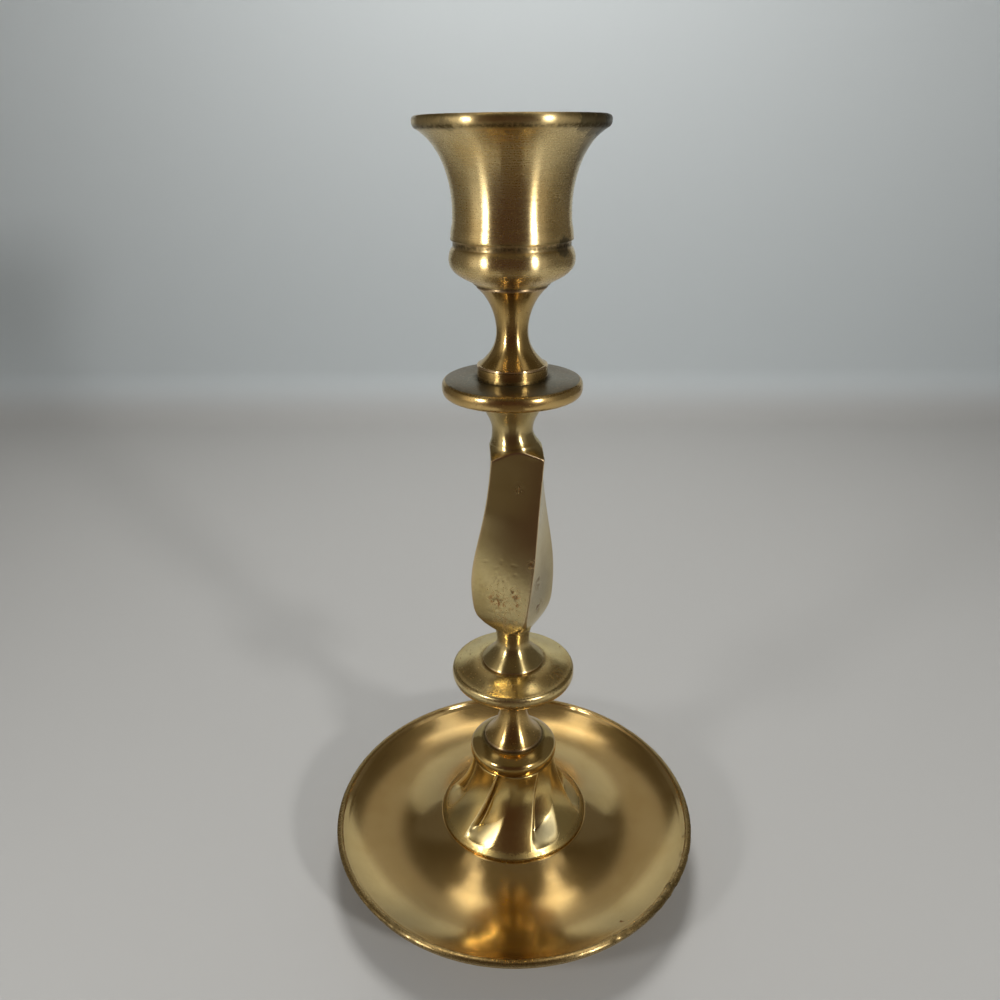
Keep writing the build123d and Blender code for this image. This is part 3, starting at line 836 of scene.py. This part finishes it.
def disc(name, foot, seat, rise, recess, dents=()):
    """A round disc, coned from its edge up to a seat, with a recess underneath."""
    top = DISC_EDGE + rise
    outline = join(
        line((BORE, top), (seat, top)),
        bezier((seat, top), (seat + 2.5, top - 0.05), (14.2, DISC_EDGE + 0.35), DISC_CONE_EDGE, 20),
        bezier(DISC_CONE_EDGE, (16.5, DISC_EDGE), (16.8, DISC_EDGE - 0.45), DISC_WIDEST, 8),
        bezier(DISC_WIDEST, (DISC_RADIUS, 1.2), (16.7, 0.4), DISC_UNDER_EDGE, 8),
        line(DISC_UNDER_EDGE, (DISC_RECESS_RADIUS, 0)),
        [(DISC_RECESS_RADIUS, recess)],
        line((DISC_RECESS_RADIUS - 0.05, recess), (BORE, recess)),
    )
    return lathe(name, soften(lift(outline, foot), 0.2, True), 168, 0.03, dents)


lower_disc_dents = ((62, LOWER_DISC_FOOT + 4.0, 0.35, 0.25), (70, LOWER_DISC_FOOT + 4.2, 0.3, 0.2))
lower_disc_brass = brass(
    "turned_brass_lower_disc", colour=BRASS_OLIVE, mottle=0.5, roughness=0.20, anisotropy=0.3, rings=0.3,
    tarnish=0.2, pits=0.8, pit_zones=((60, 13.5, LOWER_DISC_FOOT + 4.2, 2.6, 0.35),),
)
upper_disc_brass = brass(
    "turned_brass_upper_disc", colour=(0.72, 0.50, 0.20, 1), mottle=0.5, roughness=0.20, anisotropy=0.6,
    rings=0.3, grain=0.15, patina=1.0, pits=0.4,
)
lower_disc = disc("lower_disc_brass", LOWER_DISC_FOOT, 8.8, 1.65, 0.5, lower_disc_dents)
upper_disc = disc("upper_disc_brass", BALUSTER_TOP, 8.75, 0.45, 0.0)
dress(lower_disc, lower_disc_brass, "lower_disc")
dress(upper_disc, upper_disc_brass, "upper_disc")

# Twisted baluster: heights from here on are above its foot
BODY_FOOT = 10.8
BODY_TOP = 63.8
CORNER_TOP = 60.8
TOP_NECK_RADIUS = 6.05
CORNER_TOP_RADIUS = 9.3
BALUSTER_LENGTH = BALUSTER_TOP - BALUSTER_FOOT
# Half widths of the square and radii of its corners: (height, length)
BODY_WIDTHS = (
    (10.8, 5.1), (12.0, 5.85), (13.1, 6.5), (14.3, 7.05), (15.8, 7.5), (18.0, 7.85), (21.0, 8.12),
    (25.5, 8.38), (30.8, 8.32), (36.0, 7.93), (42.0, 7.33), (48.3, 6.83), (55.0, 6.58), (63.8, 6.5),
)
CORNER_RADII = (
    (10.8, 5.1), (12.0, 3.6), (13.1, 2.8), (14.3, 2.0), (15.8, 1.0), (18.0, 0.45), (21, 0.3), (63.8, 0.3),
)
# Where the twist begins and ends: (height, azimuth of the front right corner)
TWIST_START = (17.1, 17.5)
TWIST_END = (60.8, 48.5)
NECK_FLANGE_RADIUS = 8.5
FOOT_WAIST = (4.4, 6.8)
TOP_WAIST = (5.025, 67.0)
TAP_DEPTH = 11
CREASE_EDGE = 0.14
FACE_WAVINESS = 0.035


def body_corner_azimuth(height):
    share = np.clip((height - TWIST_START[0]) / (TWIST_END[0] - TWIST_START[0]), 0, 1)
    return TWIST_START[1] + (TWIST_END[1] - TWIST_START[1]) * share**1.2


def square_reach(across, half_width, corner):
    """Distance from the axis to the rounded square, at an angle from the middle of one of its faces."""
    across = np.abs(across)
    flat = half_width / np.cos(across)
    centre = (half_width - corner) * math.sqrt(2)
    off = across - math.pi / 4
    root = np.sqrt(np.clip(corner**2 - (centre * np.sin(off)) ** 2, 0, None))
    rounded = centre * np.cos(off) + root
    return np.where(np.tan(across) * half_width <= half_width - corner, flat, rounded)


def shoulder_curve():
    """Outline of the turned shoulder, from the neck out past the square's corners."""
    a, d = (TOP_NECK_RADIUS, BODY_TOP), (CORNER_TOP_RADIUS, CORNER_TOP)
    width, drop = d[0] - a[0], a[1] - d[1]
    b, c = (a[0] + 0.05 * width, a[1] - 0.3 * drop), (a[0] + 0.4 * width, a[1] - 0.62 * drop)
    points = bezier(a, b, c, d, 60)
    steep = (points[-1][1] - points[-2][1]) / (points[-1][0] - points[-2][0])
    points.append((d[0] + 3, d[1] + 3 * steep))
    radii, heights = zip(*points)
    return np.array(radii), np.array(heights)


def baluster_pits():
    """Dents in the faces: the larger ones that the front shows, then small scattered ones."""
    rng = random.Random(5)
    pits = [
        (-31, 22.6, 0.45, 0.22), (-36, 22.2, 0.3, 0.16), (-24, 22.4, 0.4, 0.2), (-22.5, 21.6, 0.4, 0.18),
        (2, 26.0, 0.4, 0.18), (6, 24.2, 0.45, 0.2), (9, 22.6, 0.3, 0.14), (45, 28.4, 0.4, 0.12),
        (41, 26.5, 0.4, 0.12), (60, 20.0, 0.35, 0.14), (57, 18.0, 0.5, 0.12), (12, 53.5, 0.4, 0.1),
        (26, 34.5, 0.4, 0.12),
    ]
    for _ in range(110):
        place = (rng.gauss(-12, 16), rng.gauss(24.5, 4.0))
        pits.append((*place, rng.uniform(0.12, 0.3), rng.uniform(0.02, 0.09)))
    for _ in range(70):
        place = (rng.uniform(60, 340), rng.gauss(27, 9))
        pits.append((*place, rng.uniform(0.15, 0.35), rng.uniform(0.02, 0.09)))
    return pits


def twisted_baluster():
    # Columns round the square, closer together at its corners
    corner = [41.6, 42.4, 43, 43.5, 44, 44.5, 45, 45.5, 46, 46.5, 47, 47.6, 48.4]
    face = np.concatenate([np.linspace(-40.5, 40.5, 37), corner])
    across = np.radians(np.concatenate([face + 90 * k for k in range(4)]))
    within = np.radians(np.concatenate([np.where(face > 45, face - 90, face)] * 4))
    off_corner = np.abs(np.abs(within) - math.pi / 4)
    columns = len(across)

    def body(height):
        half = natural_spline(*zip(*BODY_WIDTHS), height)
        corner = np.interp(height, *zip(*CORNER_RADII))
        return square_reach(within, half, np.minimum(corner, half * 0.999))

    shoulder_radii, shoulder_heights = shoulder_curve()

    def shoulder(height):
        return np.interp(-height, -shoulder_heights, shoulder_radii)

    # The crease: where each column of the body meets the turned shoulder
    low, high = np.full(columns, CORNER_TOP - 2.5), np.full(columns, BODY_TOP - 0.05)
    for _ in range(40):
        middle = (low + high) / 2
        inside = body(middle) < shoulder(middle)
        low, high = np.where(inside, middle, low), np.where(inside, high, middle)
    crease = (low + high) / 2

    rows = []

    def add(radius, height, worn_and_highlight=0.0, grimy=0.0, kind=0.0):
        full = np.ones(columns)
        rows.append((radius * full, height * full, worn_and_highlight * full, grimy * full, kind * full))

    def add_rings(points, worn_and_highlight=0.0):
        for radius, height in points:
            add(radius, height, worn_and_highlight)

    # Tapped hole, foot flange and lower neck
    add_rings([(BORE, TAP_DEPTH), (BORE, 0), (8.0, 0)])
    flange = (NECK_FLANGE_RADIUS, 0.55)
    add_rings([(8.35, 0.03), (NECK_FLANGE_RADIUS, 0.18), flange], 0.5)
    add_rings(waist_curve(flange, FOOT_WAIST, (0.63, 0.46, 0.42), 30)[1:])
    foot_neck = waist_curve((5.1, BODY_FOOT), FOOT_WAIST, (0.58, 0.34, 0.21), 18)
    for radius, height in foot_neck[::-1][1:]:
        add(radius, height, 0.0, smoothstep(9.9, 10.7, height) * 0.5)

    # Square body: its foot, where the corners grow sharp, then up to the crease
    sharp_from = 20
    for height in np.linspace(BODY_FOOT, sharp_from, 34)[1:]:
        worn_and_highlight = 0.7 * np.exp(-((off_corner / 0.05) ** 2)) * smoothstep(14, 17, height)
        outline = body(np.full(columns, height))
        add(outline, height, worn_and_highlight, 0.35 * (height < 11.3), smoothstep(10.9, 11.6, height))
    arris = 0.7 * np.exp(-((off_corner / 0.045) ** 2))
    for share in np.append(np.linspace(0, 1, 120)[1:-1], 1.0):
        height = sharp_from + (crease - CREASE_EDGE - sharp_from) * share
        add(body(height), height, np.maximum(arris, 0.9 * (share == 1.0)), 0.0, 1.0)

    # Shoulder, upper neck and flange, and the upper tapped hole
    for share in np.linspace(0, 1, 14):
        height = crease + CREASE_EDGE + (BODY_TOP - crease - CREASE_EDGE) * share
        add(shoulder(height), height, 0.9 * (share == 0))
    upper_flange = (NECK_FLANGE_RADIUS, BALUSTER_LENGTH - 0.6)
    add_rings(waist_curve((TOP_NECK_RADIUS, BODY_TOP), TOP_WAIST, (0.64, 0.27, 0.33), 12)[1:])
    add_rings(waist_curve(upper_flange, TOP_WAIST, (0.51, 0.49, 0.33))[::-1][1:])
    upper_tap = BALUSTER_LENGTH - TAP_DEPTH
    add_rings([(NECK_FLANGE_RADIUS, BALUSTER_LENGTH), (BORE, BALUSTER_LENGTH), (BORE, upper_tap)])
    # A narrow channel between the two holes closes the mesh
    add_rings([(1.2, upper_tap - 0.4), (1.2, TAP_DEPTH + 0.4)])

    radius, height, worn_and_highlight, grimy, kind = (np.concatenate(part) for part in zip(*rows))
    facing = body_corner_azimuth(height) - 45 + np.degrees(np.tile(across, len(rows)))
    depth = dent_field(facing, height, radius, baluster_pits()) * kind
    ground = wave(facing, height, "faces", FACE_WAVINESS) * kind
    radius = radius - depth + np.where(kind > 0, ground - FACE_WAVINESS, 0)
    angle = np.radians(facing)
    # The casting bows a little to the right
    bow = 0.85 * smoothstep(24, 58, height) * (1 - smoothstep(61.5, 67, height))
    vertices = np.stack([radius * np.sin(angle) + bow, -radius * np.cos(angle), height + BALUSTER_FOOT], 1)
    attributes = {"grime": np.clip(grimy + depth, 0, 1), "wear_and_highlight": worn_and_highlight, "flat": kind}
    return new_mesh("twisted_baluster_brass", vertices, grid_faces(len(rows), columns, True), attributes)


# Clusters of casting pits seen on the faces: (azimuth, radius, height, reach, strength)
BALUSTER_PITS = [
    (azimuth, radius, BALUSTER_FOOT + height, reach, strength)
    for azimuth, radius, height, reach, strength in (
        (-33, 8.5, 22.6, 3.6, 0.75), (-24, 8.4, 22.0, 3.0, 0.75), (3, 9.5, 25.4, 2.6, 0.75),
        (7, 9.8, 22.8, 2.6, 0.7), (43, 9.0, 27.4, 3.4, 0.6), (58, 8.2, 19.0, 3.0, 0.7),
        (12, 6.8, 53.5, 1.8, 0.8), (26, 11.0, 34.5, 2.0, 0.75), (-12, 8.6, 23.0, 11.0, 0.3),
        (-14, 8.4, 16.5, 7.0, 0.45),
    )
]
cast_brass_baluster = brass(
    "cast_brass_baluster", colour=(0.70, 0.565, 0.27, 1), deep=(0.58, 0.44, 0.18, 1), mottle=0.8,
    turned=(0.56, 0.43, 0.19, 1), turned_gloss=0.25, roughness=0.20, anisotropy=0.85, rings=0.05, pits=0.05,
    pit_zones=BALUSTER_PITS, darker_spots=((64, 10, BALUSTER_FOOT + 24, 16, 0.6),),
)
dress(twisted_baluster(), cast_brass_baluster, "twisted_baluster")

# Candle cup: heights above its foot
CUP_HEIGHT = 34.8
SOCKET_RADIUS = 11.1
SOCKET_FLOOR = 6.3
SOCKET_TOP = (SOCKET_RADIUS, 20.6)
CUP_TAP_DEPTH = 5
CUP_MOUTH = (19.45, CUP_HEIGHT)
CUP_RIM = (20.2, CUP_HEIGHT)
CUP_WIDEST = (21.2, 33.7)
CUP_WAIST = (13.2, 16.2)
CUP_BULGE = (14.3, 5.6)
cup_outline = join(
    [(0, SOCKET_FLOOR)],
    line((0.3, SOCKET_FLOOR), (SOCKET_RADIUS, SOCKET_FLOOR), 1.5),
    line((SOCKET_RADIUS, SOCKET_FLOOR), SOCKET_TOP),
    reversed(waist_curve(CUP_MOUTH, SOCKET_TOP, (0.73, 0.29, 0.1))),
    line(CUP_MOUTH, CUP_RIM, 0.4),
    bezier(CUP_RIM, (20.9, 34.7), (21.2, 34.3), CUP_WIDEST, 7),
    bezier(CUP_WIDEST, (21.2, 33.1), (21.0, 32.7), (20.75, 32.45), 6),
    waist_curve((20.6, 32.3), CUP_WAIST, (0.70, 0.17, 0.38), 40),
    reversed(waist_curve((13.75, 10.2), CUP_WAIST, (0.26, 0.55, 0.75), 16)),
    [(13.82, 10.0), (13.75, 9.8), (13.4, 9.6)],
    line((13.3, 9.4), (13.3, 8.5), 0.3),
    [(13.4, 8.25)],
    waist_curve((13.6, 8.1), CUP_BULGE, (0.58, 0.24, 0.43), 12),
    reversed(waist_curve((8.9, 0.25), CUP_BULGE, (0.07, 0.17, 0.67), 24)),
    line((8.6, 0), (TAP_RADIUS, 0), 1.2),
    line((TAP_RADIUS, 0), (TAP_RADIUS, CUP_TAP_DEPTH)),
    [(0, CUP_TAP_DEPTH)],
)
cup = lathe("candle_cup_brass", soften(lift(cup_outline, CUP_FOOT), 0.2, False, 30), 192, 0.03)
CUP_STAINS = (
    (46, 21, CUP_TOP - 1.8, 5, 0.6),
    (60, 20.8, CUP_TOP - 2.2, 6.5, 0.7),
    (74, 21, CUP_TOP - 2.0, 8, 0.9),
    (-38, 21, CUP_TOP - 2.4, 3, 0.4),
    (70, 19.5, CUP_TOP - 6, 9, 0.3),
    (55, 13.5, CUP_FOOT + 8.9, 4, 0.7),
)
cup_brass = brass(
    "turned_brass_cup", colour=(0.78, 0.60, 0.29, 1), mottle=0.45, roughness=0.27, anisotropy=0.93,
    rings=0.9, pits=0.2, stains=CUP_STAINS, darker_spots=((66, 17, CUP_FOOT + 27, 13, 0.5),),
)
dress(cup, cup_brass, "candle_cup")

# Studs, washer and nut keep their own shapes
zinc = steel("zinc_steel", (0.58, 0.58, 0.55, 1), (0.30, 0.28, 0.25, 1))
for node in ("upper_stud", "lower_stud", "base_washer", "base_nut"):
    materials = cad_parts[node].data.materials
    materials.clear()
    materials.append(zinc)

# Floor and backdrop, in metres: one sheet that curves up behind the object. The metal doesn't mirror its
# upper part, so that the reflections of what is overhead come from the room.
WALL_AT = 0.43
COVE = 0.035
FLOOR_FRONT = -1.2
FLOOR_REACH = 2.5
MIRRORED_TO = 0.33
WALL_TO = 1.6
FLOOR_TINT = (0.47, 0.462, 0.442, 1)
WALL_TINT_AND_LIGHT = (0.66, 0.705, 0.715, 1)
WALL_TINT_AND_LIGHT_ABOVE = (0.76, 0.805, 0.81, 1)
FAR_TINT = (0.38, 0.385, 0.38, 1)


def strip_faces(count):
    """Faces between two rows of points that follow each other."""
    return [(i, i + 1, count + i + 1, count + i) for i in range(count - 1)]


def backdrop_paper():
    material = bpy.data.materials.new("backdrop_paper")
    nodes = Nodes(material)
    nodes.put(0.8, nodes.shader.inputs["Roughness"])
    nodes.put(0.2, nodes.shader.inputs["Specular IOR Level"])
    x, y, z = nodes.split(nodes.add("ShaderNodeTexCoord").outputs["Object"])
    # The paper is painted lighter on the wall than on the floor, and lighter still towards the top: painted
    # light on top of its tint
    paper_and_light = nodes.mix(nodes.ramp(z, 0.0, 0.03), FLOOR_TINT, WALL_TINT_AND_LIGHT)
    paper_and_light = nodes.mix(nodes.ramp(z, 0.04, 0.30), paper_and_light, WALL_TINT_AND_LIGHT_ABOVE)
    nodes.put(paper_and_light, nodes.shader.inputs["Base Color"])
    # Far from the object, where the lamps don't reach, the camera sees the sheet's own pale colour
    away = nodes.larger(nodes.math("ABSOLUTE", x), nodes.times(y, -1.0))
    by_camera = nodes.add("ShaderNodeLightPath").outputs["Is Camera Ray"]
    plain = nodes.add("ShaderNodeEmission")
    nodes.put(FAR_TINT, plain.inputs[0])
    blend = nodes.add("ShaderNodeMixShader")
    nodes.put(nodes.times(nodes.ramp(away, 0.40, 0.80), by_camera), blend.inputs[0])
    nodes.put(nodes.shader.outputs[0], blend.inputs[1])
    nodes.put(plain.outputs[0], blend.inputs[2])
    nodes.put(blend.outputs[0], nodes.tree.nodes["Material Output"].inputs[0])
    return material


paper = backdrop_paper()


def sheet(name, side):
    """A wide sheet with the given outline, seen from the side as (y, z)."""
    vertices = [(x, y, z) for x in (-FLOOR_REACH, FLOOR_REACH) for y, z in side]
    mesh = bpy.data.meshes.new(name)
    mesh.from_pydata(vertices, [], strip_faces(len(side)))
    mesh.polygons.foreach_set("use_smooth", [True] * len(mesh.polygons))
    mesh.materials.append(paper)
    made = new_object(name, mesh)
    return made


cove = [math.pi / 2 * step / 8 for step in range(9)]
cove = [(WALL_AT - COVE + COVE * math.sin(a), COVE * (1 - math.cos(a))) for a in cove]
sheet("backdrop", [(FLOOR_FRONT, 0.0)] + cove + [(WALL_AT, MIRRORED_TO)])
sheet("backdrop_above", [(WALL_AT, MIRRORED_TO), (WALL_AT, WALL_TO)]).visible_glossy = False


def colour_along(nodes, value, stops):
    """Colour that changes along a value between 0 and 1."""
    ramp = nodes.add("ShaderNodeValToRGB")
    nodes.put(value, ramp.inputs[0])
    places = ramp.color_ramp.elements
    while len(places) < len(stops):
        places.new(0.5)
    for place, (position, colour) in zip(places, stops):
        place.position = position
        place.color = (*colour, 1)
    return ramp.outputs[0]


def reflected_only(name, vertices, faces, colour):
    """A card that only the metal's reflections see, glowing in a colour that depends on the place."""
    mesh = bpy.data.meshes.new(name)
    mesh.from_pydata(vertices, [], faces)
    card = new_object(name, mesh)
    for ray in ("camera", "diffuse", "transmission", "volume_scatter", "shadow"):
        setattr(card, "visible_" + ray, False)
    material = bpy.data.materials.new(name)
    nodes = Nodes(material)
    glow = nodes.add("ShaderNodeEmission")
    nodes.put(colour(nodes, *nodes.split(nodes.add("ShaderNodeTexCoord").outputs["Object"])), glow.inputs[0])
    nodes.put(glow.outputs[0], nodes.tree.nodes["Material Output"].inputs[0])
    mesh.materials.append(material)


# Dim walls round the table, open at the back where the backdrop is: azimuth -180 to 180 runs from 0 to 1
ROOM_RADIUS = 0.56
ROOM_HEIGHT = 0.50
ROOM_OPENING = 142
# The bright stretches at -76 to -56 and about 57 are painted glow beside the left and right lamps
ROOM_STOPS = (
    (-142, (0.115, 0.105, 0.09)),
    (-112, (0.13, 0.12, 0.105)),
    (-98, (0.16, 0.145, 0.125)),
    (-86, (0.26, 0.24, 0.21)),
    (-76, (0.62, 0.58, 0.53)),
    (-66, (0.90, 0.86, 0.80)),
    (-56, (0.40, 0.38, 0.35)),
    (-44, (0.11, 0.08, 0.065)),
    (-20, (0.062, 0.034, 0.026)),
    (18, (0.060, 0.034, 0.026)),
    (36, (0.10, 0.075, 0.06)),
    (57, (0.46, 0.43, 0.39)),
    (70, (0.21, 0.195, 0.17)),
    (82, (0.14, 0.13, 0.115)),
    (142, (0.115, 0.105, 0.09)),
)


def arc_points(reach, step, rings):
    """Points from azimuth -reach to reach in degrees, on each (radius, height) of the rings."""
    turns = [math.radians(a) for a in range(-reach, reach + 1, step)]
    return [(r * math.sin(a), -r * math.cos(a), z) for r, z in rings for a in turns]


def room_colour(nodes, x, y, z):
    angle = nodes.math("ARCTAN2", x, nodes.times(y, -1.0))
    share = nodes.plus(nodes.math("DIVIDE", angle, 2 * math.pi), 0.5)
    return colour_along(nodes, share, [((a + 180) / 360, colour) for a, colour in ROOM_STOPS])


room_points = arc_points(ROOM_OPENING, 4, ((ROOM_RADIUS, 0.0), (ROOM_RADIUS, ROOM_HEIGHT)))
reflected_only("room_walls", room_points, strip_faces(len(room_points) // 2), room_colour)

# The pan's shadow on the table, as a ring that is lighter further out
SHADE_FROM = 0.056
SHADE_TO = 0.100
SHADE_STOPS = ((0.0, (0.12, 0.11, 0.09)), (1.0, (0.24, 0.225, 0.20)))


def shade_colour(nodes, x, y, z):
    reach = nodes.math("SQRT", nodes.plus(nodes.times(x, x), nodes.times(y, y)))
    return colour_along(nodes, nodes.ramp(reach, SHADE_FROM, SHADE_TO), SHADE_STOPS)


shade_points = arc_points(125, 10, ((SHADE_FROM, 0.003), (SHADE_TO, 0.003)))
reflected_only("pan_shade", shade_points, strip_faces(len(shade_points) // 2), shade_colour)

# Painted shadow on the table in front, seen only in reflections: the shade of whoever looks at the object,
# where they stand
FRONT_NEAR = 0.095
FRONT_END = 0.46
NARROW_STOPS = (
    (0.0, (0.16, 0.135, 0.105)),
    (0.25, (0.10, 0.08, 0.06)),
    (0.45, (0.10, 0.08, 0.06)),
    (0.62, (0.14, 0.115, 0.085)),
    (0.85, (0.14, 0.115, 0.085)),
    (1.0, (0.065, 0.042, 0.03)),
)
WIDE_NEAR = 0.20
WIDE_STOPS = ((0.0, (0.20, 0.17, 0.14)), (1.0, (0.065, 0.045, 0.033)))


def front_card(name, near, far, half_widths, height, dark_by, stops):
    """A level card in front, from near to far, whose colour changes up to the distance dark_by."""
    a, b = half_widths
    corners = [(-a, -near, height), (a, -near, height), (b, -far, height), (-b, -far, height)]
    reflected_only(
        name,
        corners,
        [(0, 1, 2, 3)],
        lambda nodes, x, y, z: colour_along(nodes, nodes.ramp(y, -near, -dark_by), stops),
    )


front_card("front_shade", FRONT_NEAR, FRONT_END, (0.05, 0.12), 0.002, FRONT_END, NARROW_STOPS)
front_card("front_dark", WIDE_NEAR, ROOM_RADIUS, (0.5, 0.5), 0.001, 0.27, WIDE_STOPS)


def lamp(name, place, size, power, in_reflections=True):
    data = bpy.data.lights.new(name, "AREA")
    data.shape = "DISK"
    data.size = size
    data.energy = power
    item = new_object(name, data)
    item.location = Vector(place)
    item.rotation_euler = (Vector((0, 0, 0.09)) - item.location).to_track_quat("-Z", "Y").to_euler()
    item.visible_glossy = in_reflections


lamp("lamp_right", (0.343, -0.395, 0.278), 0.06, 1.35)
lamp("lamp_left", (-0.268, -0.225, 0.213), 0.06, 0.43)
lamp("lamp_above", (0.0, 0.26, 0.62), 0.22, 2.2, in_reflections=False)


def toward(nodes, direction, target, inner, outer):
    """1 within an angle of a target direction, falling to 0 at a wider angle."""
    node = nodes.add("ShaderNodeVectorMath", operation="DOT_PRODUCT")
    nodes.put(direction, node.inputs[0])
    nodes.put(tuple(Vector(target).normalized()), node.inputs[1])
    return nodes.ramp(node.outputs["Value"], math.cos(math.radians(outer)), math.cos(math.radians(inner)))


# World: pale, and dimmer overhead. The metal mirrors a dim ceiling instead, with a pale area over the
# backdrop and pairs of soft lights: (direction of the right one, angle of its middle, angle of its edge,
# strength).
OVERHEAD = (
    ((0.0, 0.47, 0.88), 4, 9, 1.1),
    ((0.14, 0.37, 0.92), 3, 7, 2.2),
    ((0.24, 0.19, 0.95), 2, 5, 1.7),
    ((0.32, 0.03, 0.945), 2, 5, 1.8),
    ((0.50, -0.08, 0.86), 3, 9, 0.7),
)
world = bpy.data.worlds.new("room")
bpy.context.scene.world = world
room = Nodes(world)
direction = room.add("ShaderNodeTexCoord").outputs["Generated"]
rise = room.split(direction)[2]
plain_sky = room.mix(room.ramp(rise, 0.1, 0.6), (0.44, 0.455, 0.465, 1), (0.24, 0.23, 0.22, 1))
ceiling = room.mix(room.ramp(rise, 0.75, 0.95), (0.07, 0.056, 0.033, 1), (0.13, 0.11, 0.08, 1))
ceiling = room.mix(toward(room, direction, (0, 0.72, 0.70), 16, 18.5), ceiling, (0.31, 0.29, 0.255, 1))
for (aside, behind, above), inner, outer, strength in OVERHEAD:
    for side in (-1, 1):
        pool = toward(room, direction, (side * aside, behind, above), inner, outer)
        ceiling = room.mix(pool, ceiling, (strength, 0.93 * strength, 0.8 * strength, 1))
rays = room.add("ShaderNodeLightPath")
seen = room.mix(rays.outputs["Is Diffuse Ray"], plain_sky, (0.095, 0.092, 0.088, 1))
room.put(room.mix(rays.outputs["Is Glossy Ray"], seen, ceiling), room.tree.nodes["Background"].inputs[0])
